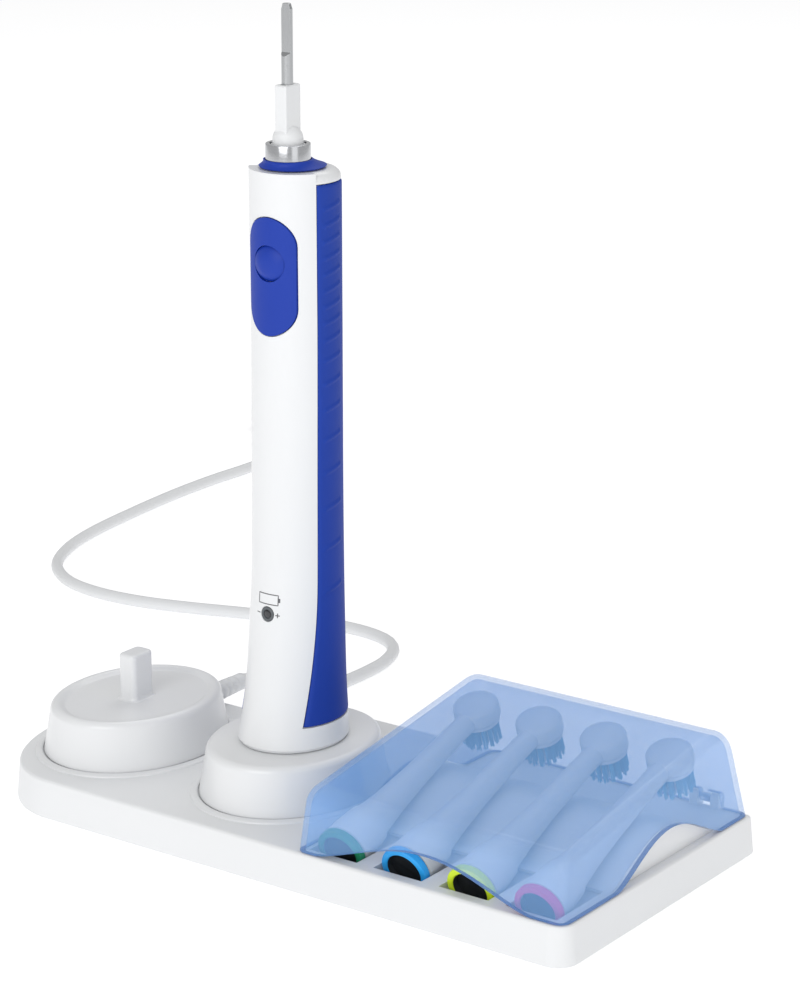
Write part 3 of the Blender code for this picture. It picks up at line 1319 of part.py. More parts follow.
def make_lid():
    y, z = hinge_line()
    hinge = pivot("lid_hinge_axis", (TRAY_LENGTH / 4, y, z))
    lid = lid_skin("lid", 0, TRAY_TOP + LID_GAP, "blue_clear")
    cut(lid, lid_skin("cutter_lid_hollow", LID_WALL, TRAY_TOP - 3 * MM))
    start, end, rise = FRONT_ARCH
    arch = [(x, TRAY_TOP + z) for x, z in bell(start, end, rise + LID_GAP)]
    foot = [(end, TRAY_TOP - 2 * MM), (start, TRAY_TOP - 2 * MM)]
    front = -TRAY_DEPTH / 2
    rings = [[(x, y_at, z_at) for x, z_at in arch + foot] for y_at in (front - 2 * MM, front + 9 * MM)]
    cut(lid, loft("cutter_front_arch", rings))
    start, end, rise = SIDE_ARCH
    arch = [(y_at, TRAY_TOP + z_at) for y_at, z_at in bell(start, end, rise + LID_GAP)]
    foot = [(end, TRAY_TOP - 2 * MM), (start, TRAY_TOP - 2 * MM)]
    cut(lid, side_plate("cutter_side_arches", TRAY_LENGTH / 2, 10 * MM, arch + foot))
    for index, x in enumerate(HINGE_X):
        half = PIN_LENGTH / 2 + NOTCH_CLEAR
        top = z + EAR_RADIUS + NOTCH_CLEAR
        cut(
            lid,
            block(
                f"cutter_notch_{index + 1}", (x - half, y - 4 * MM, TRAY_TOP - 1 * MM),
                (x + half, y + 4 * MM, top),
            ),
        )
        join(lid, hinge_wing(f"cutter_wing_{index + 1}", x, top))
        cut(lid, rod(f"cutter_lid_pin_hole_{index + 1}", x, EAR_WIDTH * 2, PIN_RADIUS + RUNNING, y, z))
        pin = rod(f"lid_hinge_pin_{index + 1}", x, PIN_LENGTH, PIN_RADIUS, y, z, "steel")
        hang(pin, hinge)
        pin.parent = None
        pin.location = hinge.location
    hang(lid, hinge)


def hinge_wing(name, x, notch_top):
    """The lid's own ear, between two of the tray's, joined to the rear wall over the notch."""
    y, z = hinge_line()
    turns = [math.pi * (1 + i / 8) for i in range(9)]
    outline = [(y + EAR_RADIUS * math.cos(t), z + EAR_RADIUS * math.sin(t)) for t in turns]
    top = notch_top + 1.5 * MM
    lean = LID_BACK_LEAN / (LID_BACK_HEIGHT + 1.6 * MM - TRAY_TOP - LID_GAP)
    wall = TRAY_DEPTH / 2 - TRAY_DRAFT - LID_EDGE_IN - lean * (top - TRAY_TOP - LID_GAP)
    outline += [(wall - 0.2 * MM, top), (wall - LID_WALL, top)]
    return side_plate(name, x, EAR_WIDTH - 0.2 * MM, outline)


# ---- Brush heads ------------------------------------------------------------
def make_brush_head(index, ring_finish):
    """Ring, sleeve and the bristle disc that turns on it."""
    place = head_frame(index)
    number = index + 1
    turned(
        f"head_ring_{number}",
        [
            (RING_HOLE, 0), (RING_RADIUS - 0.4 * MM, 0), (RING_RADIUS, 0.4 * MM),
            (RING_RADIUS, RING_THICKNESS), (RING_HOLE, RING_THICKNESS),
        ],
        (0, 0), 20, ring_finish, closed=True, place=place,
    )
    sleeve = turned(
        f"head_sleeve_{number}", [
            (r * MM, s * MM) for s, r in SLEEVE_PROFILE
        ], (0, 0), 16, "white_plastic", place=place
    )
    across = place @ Matrix.Translation((0, 0, HEAD_LENGTH)) @ Matrix.Rotation(-math.pi / 2, 4, "X")
    under = BRUSH_BACK * 0.4
    back = [
        (BRUSH_RADIUS - 0.3 * MM, -under), (BRUSH_RADIUS, -under + 0.4 * MM), (
            BRUSH_RADIUS, BRUSH_BACK - 1.2 * MM
        ),
        (BRUSH_RADIUS * 0.86, BRUSH_BACK), (BRUSH_RADIUS * 0.45, BRUSH_BACK + BRUSH_DOME * 0.8),
    ]
    join(
        sleeve,
        turned(f"cutter_head_back_{number}", [(r, -z) for r, z in back[::-1]], (0, 0), 18, place=across)
    )
    low = SLEEVE_PROFILE[0][0] * MM
    bore = [
        (SLEEVE_BORE, low - 1 * MM), (SLEEVE_BORE, low + SLEEVE_BORE_DEPTH * 0.6),
        (SLEEVE_BORE * 0.75, low + SLEEVE_BORE_DEPTH),
    ]
    cut(sleeve, turned(f"cutter_head_bore_{number}", bore, (0, 0), 12, place=place))
    clear = turned(
        f"cutter_head_under_{number}", [(BRUSH_RADIUS * 1.3, under), (BRUSH_RADIUS * 1.3, 9 * MM)], (0, 0),
        16, place=across,
    )
    cut(sleeve, clear)
    top = under + DISC_SWING_GAP
    disc_profile = [
        (DISC_RADIUS, top), (DISC_RADIUS, top + DISC_THICKNESS), (
            TUFT_RADIUS, top + DISC_THICKNESS + 0.3 * MM
        ),
        (TUFT_RADIUS * 1.04, top + DISC_THICKNESS + TUFT_LENGTH),
    ]
    disc = turned(f"bristle_disc_{number}", disc_profile, (0, 0), 18, "bristle_blue", place=across)
    hang(disc, pivot(f"bristle_disc_axis_{number}", across.translation))


def main():
    for old in list(bpy.data.objects):
        bpy.data.objects.remove(old, do_unlink=True)
    make_tray()
    make_base_and_feet()
    relief_start = make_charger()
    make_dock("holder", HOLDER_AT, False)
    make_cord(relief_start)
    make_handle()
    make_lid()
    for index, finish in enumerate(("ring_green", "ring_blue", "ring_yellow", "ring_pink")):
        make_brush_head(index, finish)


main()
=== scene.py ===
"""The toothbrush, its charger stand and its spare heads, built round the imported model. In metres, +Z up."""

import json
import math
import random

import bmesh
import bpy
from mathutils import Matrix, Vector

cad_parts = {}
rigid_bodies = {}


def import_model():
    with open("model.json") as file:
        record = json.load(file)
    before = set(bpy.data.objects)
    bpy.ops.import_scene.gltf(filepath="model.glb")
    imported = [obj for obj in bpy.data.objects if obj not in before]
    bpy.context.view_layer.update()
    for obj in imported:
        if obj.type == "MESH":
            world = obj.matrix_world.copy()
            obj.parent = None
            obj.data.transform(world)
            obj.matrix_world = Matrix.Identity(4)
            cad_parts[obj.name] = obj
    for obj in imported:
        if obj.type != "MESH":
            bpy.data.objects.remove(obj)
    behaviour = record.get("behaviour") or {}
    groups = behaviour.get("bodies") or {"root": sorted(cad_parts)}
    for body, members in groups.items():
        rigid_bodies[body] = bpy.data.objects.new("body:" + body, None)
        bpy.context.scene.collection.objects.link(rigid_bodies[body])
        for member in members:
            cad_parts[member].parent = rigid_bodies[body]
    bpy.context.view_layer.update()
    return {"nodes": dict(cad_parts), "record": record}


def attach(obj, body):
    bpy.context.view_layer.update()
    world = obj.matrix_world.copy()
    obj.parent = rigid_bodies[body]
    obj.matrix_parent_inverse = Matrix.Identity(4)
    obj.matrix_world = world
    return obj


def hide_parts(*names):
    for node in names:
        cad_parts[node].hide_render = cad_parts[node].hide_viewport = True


MM = 0.001
FULL_TURN = 2 * math.pi


# ---- Frame, camera, light ---------------------------------------------------
for old in list(bpy.data.objects):
    bpy.data.objects.remove(old, do_unlink=True)
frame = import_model()
nodes = frame["nodes"]
scene = bpy.context.scene


def link(thing):
    scene.collection.objects.link(thing)
    return thing


def make_camera():
    lens = bpy.data.cameras.new("camera")
    lens.lens = 117.06
    lens.sensor_width = 36
    lens.clip_start, lens.clip_end = 0.05, 20
    eye = link(bpy.data.objects.new("camera", lens))
    eye.location = (0.5186, -0.6947, 0.3571)
    eye.rotation_euler = (math.radians(90 - 16.55), 0, math.radians(35.84))
    scene.camera = eye


def soft_box(name, place, aim, width, height, power):
    lamp = bpy.data.lights.new(name, "AREA")
    lamp.shape = "RECTANGLE"
    lamp.size, lamp.size_y = width, height
    lamp.energy = power
    box = link(bpy.data.objects.new(name, lamp))
    box.location = place
    box.rotation_euler = (Vector(aim) - Vector(place)).to_track_quat("-Z", "Y").to_euler()


def make_studio():
    scene.view_settings.view_transform = "Standard"
    scene.view_settings.look = "None"
    world = bpy.data.worlds.new("studio")
    world.use_nodes = True
    world.node_tree.nodes["Background"].inputs["Color"].default_value = (1, 1, 1, 1)
    world.node_tree.nodes["Background"].inputs["Strength"].default_value = WORLD_LIGHT
    scene.world = world
    aim = (0, 0, 0.08)
    soft_box("key_light", (0.3, -1.4, 0.8), aim, 1.1, 0.9, KEY_LIGHT)
    soft_box("fill_light", (1.5, -0.5, 0.7), aim, 0.9, 1.2, FILL_LIGHT)
    soft_box("top_light", (-0.35, 0.85, 1.5), aim, 1.0, 1.0, TOP_LIGHT)
    bm = bmesh.new()
    bmesh.ops.create_grid(bm, x_segments=1, y_segments=1, size=6)
    floor = mesh_piece("floor", bm)
    floor.data.materials.append(floor_finish())


WORLD_LIGHT = 0.52
KEY_LIGHT = 9.5
FILL_LIGHT = 2.2
TOP_LIGHT = 5.5


# ---- Finishes ---------------------------------------------------------------
def group(name, inputs, outputs):
    """An empty shader node group with its sockets: (tree, input node, output node)."""
    tree = bpy.data.node_groups.new(name, "ShaderNodeTree")
    for socket, kind, value in inputs:
        made = tree.interface.new_socket(socket, in_out="INPUT", socket_type=kind)
        if value is not None:
            made.default_value = value
    for socket, kind in outputs:
        tree.interface.new_socket(socket, in_out="OUTPUT", socket_type=kind)
    return tree, tree.nodes.new("NodeGroupInput"), tree.nodes.new("NodeGroupOutput")


def math_node(tree, operation, *values):
    node = tree.nodes.new("ShaderNodeMath")
    node.operation = operation
    for socket, value in zip(node.inputs, values):
        if isinstance(value, (int, float)):
            socket.default_value = value
        else:
            tree.links.new(value, socket)
    return node.outputs[0]


def moulded_group():
    """Slow colour drift, fine moulding grain and faint scuffs, all from a place in space."""
    tree, given, out = group(
        "moulded_surface",
        [
            ("Place", "NodeSocketVector", None), ("Colour", "NodeSocketColor", (0.8, 0.8, 0.8, 1)),
            ("Drift", "NodeSocketFloat", 0.03), ("Grain Scale", "NodeSocketFloat", 900.0),
            ("Grain Height", "NodeSocketFloat", 0.2), ("Roughness", "NodeSocketFloat", 0.3),
            ("Scuff", "NodeSocketFloat", 0.06),
        ],
        [("Colour", "NodeSocketColor"), ("Roughness", "NodeSocketFloat"), ("Height", "NodeSocketFloat")],
    )
    link_up = tree.links.new

    def noise(scale, detail, roughness=0.5):
        node = tree.nodes.new("ShaderNodeTexNoise")
        node.inputs["Detail"].default_value = detail
        node.inputs["Roughness"].default_value = roughness
        if isinstance(scale, (int, float)):
            node.inputs["Scale"].default_value = scale
        else:
            link_up(scale, node.inputs["Scale"])
        link_up(given.outputs["Place"], node.inputs["Vector"])
        return node.outputs["Fac"]

    slow = noise(28.0, 3.0)
    fine = noise(given.outputs["Grain Scale"], 2.0)
    scuffs = noise(240.0, 6.0, 0.7)
    drift = math_node(tree, "MULTIPLY", math_node(tree, "SUBTRACT", slow, 0.5), given.outputs["Drift"])
    tint = tree.nodes.new("ShaderNodeHueSaturation")
    link_up(math_node(tree, "ADD", drift, 1.0), tint.inputs["Value"])
    link_up(given.outputs["Colour"], tint.inputs["Color"])
    link_up(tint.outputs["Color"], out.inputs["Colour"])
    wear = math_node(tree, "MULTIPLY", math_node(tree, "SUBTRACT", scuffs, 0.5), given.outputs["Scuff"])
    link_up(math_node(tree, "ADD", given.outputs["Roughness"], wear), out.inputs["Roughness"])
    link_up(math_node(tree, "MULTIPLY", fine, given.outputs["Grain Height"]), out.inputs["Height"])
    return tree


def streak_group():
    """Fine lines along or round a piece, as on drawn or turned metal."""
    tree, given, out = group(
        "streaks",
        [
            ("Place", "NodeSocketVector", None), ("Stretch", "NodeSocketVector", (1, 1, 1)),
            ("Scale", "NodeSocketFloat", 1500.0), ("Roughness", "NodeSocketFloat", 0.25),
            ("Spread", "NodeSocketFloat", 0.2),
        ],
        [("Roughness", "NodeSocketFloat"), ("Height", "NodeSocketFloat")],
    )
    stretch = tree.nodes.new("ShaderNodeVectorMath")
    stretch.operation = "MULTIPLY"
    tree.links.new(given.outputs["Place"], stretch.inputs[0])
    tree.links.new(given.outputs["Stretch"], stretch.inputs[1])
    lines = tree.nodes.new("ShaderNodeTexNoise")
    lines.inputs["Detail"].default_value = 3.0
    tree.links.new(stretch.outputs[0], lines.inputs["Vector"])
    tree.links.new(given.outputs["Scale"], lines.inputs["Scale"])
    centred = math_node(tree, "SUBTRACT", lines.outputs["Fac"], 0.5)
    spread = math_node(tree, "MULTIPLY", centred, given.outputs["Spread"])
    tree.links.new(math_node(tree, "ADD", given.outputs["Roughness"], spread), out.inputs["Roughness"])
    tree.links.new(lines.outputs["Fac"], out.inputs["Height"])
    return tree


MOULDED = moulded_group()
STREAKS = streak_group()
finishes = {}


def new_finish(name):
    made = bpy.data.materials.new(name)
    made.use_nodes = True
    finishes[name] = made
    tree = made.node_tree
    return made, tree, tree.nodes["Principled BSDF"], tree.nodes.new("ShaderNodeTexCoord").outputs["Object"]


def bump(tree, shader, height, strength, depth):
    node = tree.nodes.new("ShaderNodeBump")
    node.inputs["Strength"].default_value = strength
    node.inputs["Distance"].default_value = depth
    tree.links.new(height, node.inputs["Height"])
    tree.links.new(node.outputs["Normal"], shader.inputs["Normal"])


def moulded(
    name, colour, roughness, drift=0.02, grain=900.0, height=0.3, depth=0.00002, scuff=0.05, **sockets
):
    """A plastic or rubber finish."""
    made, tree, shader, place = new_finish(name)
    surface = tree.nodes.new("ShaderNodeGroup")
    surface.node_tree = MOULDED
    tree.links.new(place, surface.inputs["Place"])
    for socket, value in (
        ("Colour", (*colour, 1)), ("Drift", drift), ("Grain Scale", grain), ("Grain Height", 1.0),
        ("Roughness", roughness), ("Scuff", scuff),
    ):
        surface.inputs[socket].default_value = value
    tree.links.new(surface.outputs["Colour"], shader.inputs["Base Color"])
    tree.links.new(surface.outputs["Roughness"], shader.inputs["Roughness"])
    bump(tree, shader, surface.outputs["Height"], height, depth)
    for socket, value in sockets.items():
        shader.inputs[socket.replace("_", " ")].default_value = value
    return made


def metal(name, colour, roughness, stretch, spread=0.15, scale=1500.0):
    """A drawn or turned metal finish."""
    made, tree, shader, place = new_finish(name)
    shader.inputs["Base Color"].default_value = (*colour, 1)
    shader.inputs["Metallic"].default_value = 1.0
    lines = tree.nodes.new("ShaderNodeGroup")
    lines.node_tree = STREAKS
    tree.links.new(place, lines.inputs["Place"])
    for socket, value in (
        ("Stretch", stretch), ("Scale", scale), ("Roughness", roughness), ("Spread", spread),
    ):
        lines.inputs[socket].default_value = value
    tree.links.new(lines.outputs["Roughness"], shader.inputs["Roughness"])
    bump(tree, shader, lines.outputs["Height"], 0.15, 0.00001)
    return made


def floor_finish():
    made, _, shader, _ = new_finish("floor_white")
    shader.inputs["Base Color"].default_value = (0.84, 0.84, 0.845, 1)
    shader.inputs["Roughness"].default_value = 0.9
    shader.inputs["Specular IOR Level"].default_value = 0.0
    shader.inputs["Emission Color"].default_value = (1, 1, 1, 1)
    shader.inputs["Emission Strength"].default_value = 0.45
    return made


def clear_blue(name, colour, alpha_face, alpha_edge, roughness):
    """Clear blue moulding: denser where it is seen along its wall."""
    made, tree, shader, place = new_finish(name)
    surface = tree.nodes.new("ShaderNodeGroup")
    surface.node_tree = MOULDED
    tree.links.new(place, surface.inputs["Place"])
    surface.inputs["Colour"].default_value = (*colour, 1)
    surface.inputs["Drift"].default_value = 0.02
    surface.inputs["Roughness"].default_value = roughness
    surface.inputs["Scuff"].default_value = 0.03
    tree.links.new(surface.outputs["Colour"], shader.inputs["Base Color"])
    tree.links.new(surface.outputs["Roughness"], shader.inputs["Roughness"])
    bump(tree, shader, surface.outputs["Height"], 0.05, 0.00001)
    facing = tree.nodes.new("ShaderNodeLayerWeight")
    facing.inputs["Blend"].default_value = 0.35
    span = tree.nodes.new("ShaderNodeMapRange")
    span.inputs["To Min"].default_value = alpha_face
    span.inputs["To Max"].default_value = alpha_edge
    tree.links.new(facing.outputs["Facing"], span.inputs["Value"])
    tree.links.new(span.outputs["Result"], shader.inputs["Alpha"])
    shader.inputs["IOR"].default_value = 1.5
    return made


def make_finishes():
    moulded("white_gloss", (0.80, 0.81, 0.82), 0.30, scuff=0.04, Coat_Weight=0.15)
    moulded("white_tray", (0.79, 0.80, 0.81), 0.36, grain=700.0, height=0.4)
    moulded("white_satin", (0.78, 0.79, 0.80), 0.42, grain=1400.0)
    moulded("cord_jacket", (0.74, 0.75, 0.76), 0.45, grain=500.0, height=0.3)
    soft = {"grain": 1700.0, "Specular_IOR_Level": 0.3}
    moulded("grip_rubber", (0.007, 0.044, 0.35), 0.62, drift=0.10, height=0.7, depth=0.00004, **soft)
    moulded("pad_rubber", (0.008, 0.042, 0.37), 0.50, drift=0.08, height=0.5, depth=0.00003, **soft)
    moulded("dark_rubber", (0.05, 0.05, 0.055), 0.75, grain=1200.0, height=0.6)
    moulded("ink_grey", (0.12, 0.12, 0.13), 0.5)
    moulded("lens_smoke", (0.02, 0.02, 0.025), 0.12, Coat_Weight=0.5)
    moulded("lens_ring", (0.10, 0.11, 0.12), 0.35)
    moulded("bristle_blue", (0.10, 0.42, 0.62), 0.5, drift=0.3, grain=300.0)
    moulded("bristle_white", (0.75, 0.80, 0.84), 0.5, drift=0.15, grain=300.0)
    moulded("bore_shade", (0.03, 0.035, 0.04), 0.6)
    moulded("ring_green", (0.02, 0.30, 0.14), 0.4)
    moulded("ring_blue", (0.03, 0.42, 0.95), 0.4)
    moulded("ring_yellow", (0.74, 0.95, 0.03), 0.4)
    moulded("ring_pink", (0.85, 0.05, 0.30), 0.4)
    moulded("board_green", (0.02, 0.16, 0.06), 0.45, drift=0.25)
    moulded("ferrite_grey", (0.05, 0.05, 0.055), 0.7, drift=0.3, height=0.8)
    moulded("battery_sleeve", (0.02, 0.20, 0.13), 0.3)
    metal("steel_turned", (0.60, 0.61, 0.63), 0.20, (0.02, 0.02, 1.0))
    metal("steel_drawn", (0.46, 0.47, 0.48), 0.26, (1.0, 1.0, 0.02))
    metal("brass_turned", (0.72, 0.55, 0.25), 0.25, (0.02, 0.02, 1.0))
    metal("copper_wound", (0.65, 0.26, 0.11), 0.35, (0.02, 0.02, 1.0), scale=3000.0)
    clear_blue("lid_clear", (0.26, 0.54, 1.0), 0.25, 0.46, 0.08)
    clear_blue("lid_edge", (0.02, 0.06, 0.28), 0.85, 0.95, 0.15)


# ---- Pieces -----------------------------------------------------------------
def mesh_piece(name, bm, smooth_below=32):
    bmesh.ops.remove_doubles(bm, verts=bm.verts, dist=1e-7)
    bmesh.ops.recalc_face_normals(bm, faces=bm.faces)
    mesh = bpy.data.meshes.new(name)
    bm.to_mesh(mesh)
    bm.free()
    mesh.shade_smooth()
    mesh.set_sharp_from_angle(angle=math.radians(smooth_below))
    return link(bpy.data.objects.new(name, mesh))


def ring(bm, points):
    """A closed loop of edges through the points."""
    made = bmesh.ops.create_circle(bm, segments=len(points), radius=1)["verts"]
    for vert, point in zip(made, points):
        vert.co = point
    edges = {edge: None for vert in made for edge in vert.link_edges}
    return list(edges)


def fill_through(bm, rings, closed=False):
    """Faces between each ring and the next, filled at both ends or closed on itself."""
    pairs = list(zip(rings, rings[1:]))
    if closed:
        pairs.append((rings[-1], rings[0]))
    for low, high in pairs:
        bmesh.ops.bridge_loops(bm, edges=low + high)
    if not closed:
        for end in (rings[0], rings[-1]):
            bmesh.ops.contextual_create(bm, geom=end)


def skin(name, loops, closed=False, place=None, smooth_below=32):
    """A skin through loops of equally many points, filled at both ends or closed on itself."""
    bm = bmesh.new()
    fill_through(bm, [ring(bm, points) for points in loops], closed)
    if place:
        bmesh.ops.transform(bm, matrix=place, verts=bm.verts)
    return mesh_piece(name, bm, smooth_below)


def oval(centre, half_x, half_y, height, sides=96):
    turns = [FULL_TURN * i / sides for i in range(sides)]
    return [(centre[0] + half_x * math.cos(t), centre[1] + half_y * math.sin(t), height) for t in turns]


def turned(name, profile, centre=(0, 0), sides=64, closed=False, place=None, smooth_below=32):
    """Turned about the vertical through the centre: the profile is (radius, height)."""
    return skin(name, [oval(centre, r, r, z, sides) for r, z in profile], closed, place, smooth_below)


def level(outline, height):
    return [(x, y, height) for x, y in outline]


def rounded_outline(centre, width, depth, corner, steps=8):
    points = []
    for quarter, (sx, sy) in enumerate(((1, 1), (-1, 1), (-1, -1), (1, -1))):
        for step in range(steps + 1):
            turn = math.pi / 2 * (quarter + step / steps)
            points.append((
                centre[0] + sx * (width / 2 - corner) + corner * math.cos(turn),
                centre[1] + sy * (depth / 2 - corner) + corner * math.sin(turn),
            ))
    return points


def side_plate(name, x, thickness, outline):
    """An outline in Y and Z, standing across X."""
    return skin(name, [[(x + side * thickness / 2, y, z) for y, z in outline] for side in (-1, 1)])


def combine(piece, others, operation):
    """Joins or cuts, once and for all, and removes what was joined or cut with."""
    for other in others:
        step = piece.modifiers.new(other.name, "BOOLEAN")
        step.operation = operation
        step.object = other
        step.solver = "EXACT"
    bpy.context.view_layer.update()
    done = bpy.data.meshes.new_from_object(piece.evaluated_get(bpy.context.evaluated_depsgraph_get()))
    piece.modifiers.clear()
    old, piece.data = piece.data, done
    bpy.data.meshes.remove(old)
    for other in others:
        bpy.data.objects.remove(other, do_unlink=True)
    for face in piece.data.polygons:
        face.use_smooth = True
    piece.data.set_sharp_from_angle(angle=math.radians(32))
    return piece


def soften(piece, width, segments=2, angle=40):
    """A small round on every sharp edge, with shading weighted by the faces' areas."""
    edge = piece.modifiers.new("round", "BEVEL")
    edge.width = width
    edge.segments = segments
    edge.limit_method = "ANGLE"
    edge.angle_limit = math.radians(angle)
    even = piece.modifiers.new("even", "WEIGHTED_NORMAL")
    even.keep_sharp = True
    return piece


def dress(piece, finish, body, slot, *stands_for):
    """Gives a piece its finish and its body, and hides the imported parts it stands for; the slot is not
    used.
    """
    piece.data.materials.clear()
    piece.data.materials.append(finishes[finish])
    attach(piece, body)
    if stands_for:
        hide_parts(*stands_for)
    return piece


def shade(piece, finish, chosen):
    """Gives some faces of a piece a second finish."""
    piece.data.materials.append(finishes[finish])
    for face in piece.data.polygons:
        if chosen(face):
            face.material_index = 1


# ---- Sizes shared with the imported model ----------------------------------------
TRAY_LENGTH, TRAY_DEPTH = 210 * MM, 98.6 * MM
TRAY_TOP = 12.4 * MM
CHARGER_AT = (-74.5 * MM, -7.6 * MM)
HOLDER_AT = (-15.0 * MM, -8.0 * MM)
DOCK_X, DOCK_Y, DOCK_TOP = 25.0 * MM, 30.8 * MM, 27.3 * MM
DOCK_DRAFT = 2.4 * MM
DISH_DEPTH = 1.1 * MM
PEG_HEIGHT = 14.2 * MM
CORD_DIAMETER = 4.2 * MM
CORD_HEIGHT = 16.4 * MM
OFF_FLOOR = 0.02 * MM
FLOOR_LINE = CORD_DIAMETER / 2 + OFF_FLOOR
SHOULDER, SHELL_TOP = 189.6 * MM, 192.2 * MM
PAD_MIDDLE, PAD_HEIGHT, PAD_WIDTH = 163.5 * MM, 33.0 * MM, 15.8 * MM
PAD_LOW, PAD_HIGH = PAD_MIDDLE - PAD_HEIGHT / 2 - 4 * MM, PAD_MIDDLE + PAD_HEIGHT / 2 + 4 * MM
BUTTON_AT, BUTTON_RADIUS = 167.2 * MM, 5.0 * MM
LED_AT = 67.0 * MM
GRIP_BOTTOM, GRIP_TOP = 34.5 * MM, 189.2 * MM
CASE_LEFT = 16.0 * MM
HEAD_COUNT, HEAD_PITCH, HEAD_MIDDLE_X = 4, 21.6 * MM, 58.8 * MM
HEAD_TILT = math.radians(18)
HEAD_LENGTH = 69.5 * MM
HEAD_FRONT_Y, HEAD_FRONT_HEIGHT = -41.5 * MM, 12.0 * MM
SIDE_ARCH = (-21.5 * MM, 33.0 * MM, 9.6 * MM)  # start and end along Y, and rise
FRONT_ARCH = (22.5 * MM, 93.0 * MM, 8.2 * MM)  # start and end along X, and rise
LID_WALL, LID_LEAN, LID_MARGIN = 1.5 * MM, 1.6 * MM, 1.3 * MM
LID_FOOT = TRAY_TOP + 0.3 * MM
LID_FRONT_HEIGHT, LID_BACK_HEIGHT, LID_BACK_LEAN = 30.3 * MM, 42.8 * MM, 9.4 * MM
LID_RIDGE = 41.2 * MM
LID_RIGHT = TRAY_LENGTH / 2 - LID_MARGIN
RING_RADIUS, RING_HOLE, RING_THICKNESS = 7.3 * MM, 5.4 * MM, 2.2 * MM


# ---- Cord, hank and plug -----------------------------------------------------
# the route over the floor, in millimetres, after the cord has come down behind the tray
CORD_ROUTE = (
    (-73.6, 66), (-72.4, 80), (-71.7, 94), (-71.6, 105), (-72.9, 116), (-77.6, 127), (-87.0, 134),
    (-102, 136.2), (-121, 133.2), (-140, 128), (-160, 121.2), (-179, 116.2), (-198, 115.2),
    (-215, 119.4), (-230, 130.6), (-240, 147.8), (-246, 168), (-250, 195), (-252.8, 223),
    (-253.6, 248), (-252.8, 268), (-253.6, 281),
)
HANK_ALONG = Vector((-0.6253, 0.7804, 0))
HANK_NEAR = Vector((-254.3 * MM, 299.2 * MM, 0))
HANK_LENGTH = 86 * MM
HANK_TURN = 10.4 * MM
HANK_PITCH = 4.3 * MM
HANK_TURNS = 3
TAIL_LENGTH = 42 * MM
PLUG_HEIGHT = 13.6 * MM
RELIEF_START = 22.6 * MM - 1 * MM
RELIEF_LENGTH = 21 * MM
LYING = Matrix.Translation(HANK_NEAR) @ Matrix.Rotation(math.atan2(HANK_ALONG.y, HANK_ALONG.x), 4, "Z")


def smooth_through(points, spacing):
    """Points at an even spacing on a smooth curve through the given ones."""
    ends = [points[0] * 2 - points[1]] + points + [points[-1] * 2 - points[-2]]
    fine = []
    for a, b, c, d in zip(ends, ends[1:], ends[2:], ends[3:]):
        for step in range(20):
            t = step / 20
            squared, cubed = 2 * a - 5 * b + 4 * c - d, 3 * b - a - 3 * c + d
            fine.append(0.5 * (2 * b + (c - a) * t + squared * t**2 + cubed * t**3))
    fine.append(points[-1])
    total = sum((q - p).length for p, q in zip(fine, fine[1:]))
    count = max(2, round(total / spacing))
    even, walked, target = [fine[0]], 0.0, total / count
    for p, q in zip(fine, fine[1:]):
        stretch = (q - p).length
        while walked + stretch >= target - 1e-9 and len(even) < count:
            even.append(p + (q - p) * ((target - walked) / stretch))
            target += total / count
        walked += stretch
    return even + [fine[-1]]


def hank_turns():
    """The folded cord in the hank's own frame: half turns at each end, each turn lying on the one before."""
    points = []
    near, far = HANK_TURN + CORD_DIAMETER / 2, HANK_LENGTH - HANK_TURN - CORD_DIAMETER / 2
    run_steps, bend_steps = 6, 8
    total = HANK_TURNS * 2 * (run_steps + bend_steps) + run_steps
    rise = HANK_TURNS * HANK_PITCH + 1.7 * MM

    def height():
        return FLOOR_LINE + rise * len(points) / total

    for turn in range(HANK_TURNS + 1):
        for step in range(run_steps):
            points.append(Vector((near + (far - near) * step / run_steps, HANK_TURN, height())))
        if turn == HANK_TURNS:
            break
        for step in range(bend_steps):
            bend = math.pi * step / bend_steps
            points.append(Vector((far + HANK_TURN * math.sin(bend), HANK_TURN * math.cos(bend), height())))
        for step in range(run_steps):
            points.append(Vector((far - (far - near) * step / run_steps, -HANK_TURN, height())))
        for step in range(bend_steps):
            bend = math.pi * step / bend_steps
            points.append(Vector((near - HANK_TURN * math.sin(bend), -HANK_TURN * math.cos(bend), height())))
    return points


def cord_route():
    x, z = CHARGER_AT[0], CORD_HEIGHT
    end = RELIEF_START + RELIEF_LENGTH
    route = [Vector((x, RELIEF_START + 1 * MM, z)), Vector((x, RELIEF_START + 0.5 * RELIEF_LENGTH, z))]
    route.append(Vector((x, end + 1 * MM, z)))
    route.append(Vector((x + 0.1 * MM, end + 9 * MM, z - 3.4 * MM)))
    route.append(Vector((x + 0.4 * MM, end + 17 * MM, FLOOR_LINE + 3.2 * MM)))
    route += [Vector((px * MM, py * MM, FLOOR_LINE)) for px, py in CORD_ROUTE]
    entry = LYING @ Vector((0, HANK_TURN, FLOOR_LINE))
    route.append(entry - HANK_ALONG * 6 * MM)
    route += [LYING @ point for point in hank_turns()]
    middle_z = OFF_FLOOR + PLUG_HEIGHT / 2
    top = FLOOR_LINE + HANK_TURNS * HANK_PITCH + 1.7 * MM
    for step in range(9):
        share = step / 8
        drop = (1 - math.cos(math.pi * share)) / 2
        along = HANK_LENGTH + (TAIL_LENGTH + 1.5 * MM) * share
        route.append(LYING @ Vector((along, HANK_TURN * (1 - drop), top + (middle_z - top) * drop)))
    points = smooth_through(route, 4.2 * MM)
    return [Vector((p.x, p.y, max(p.z, FLOOR_LINE))) for p in points]


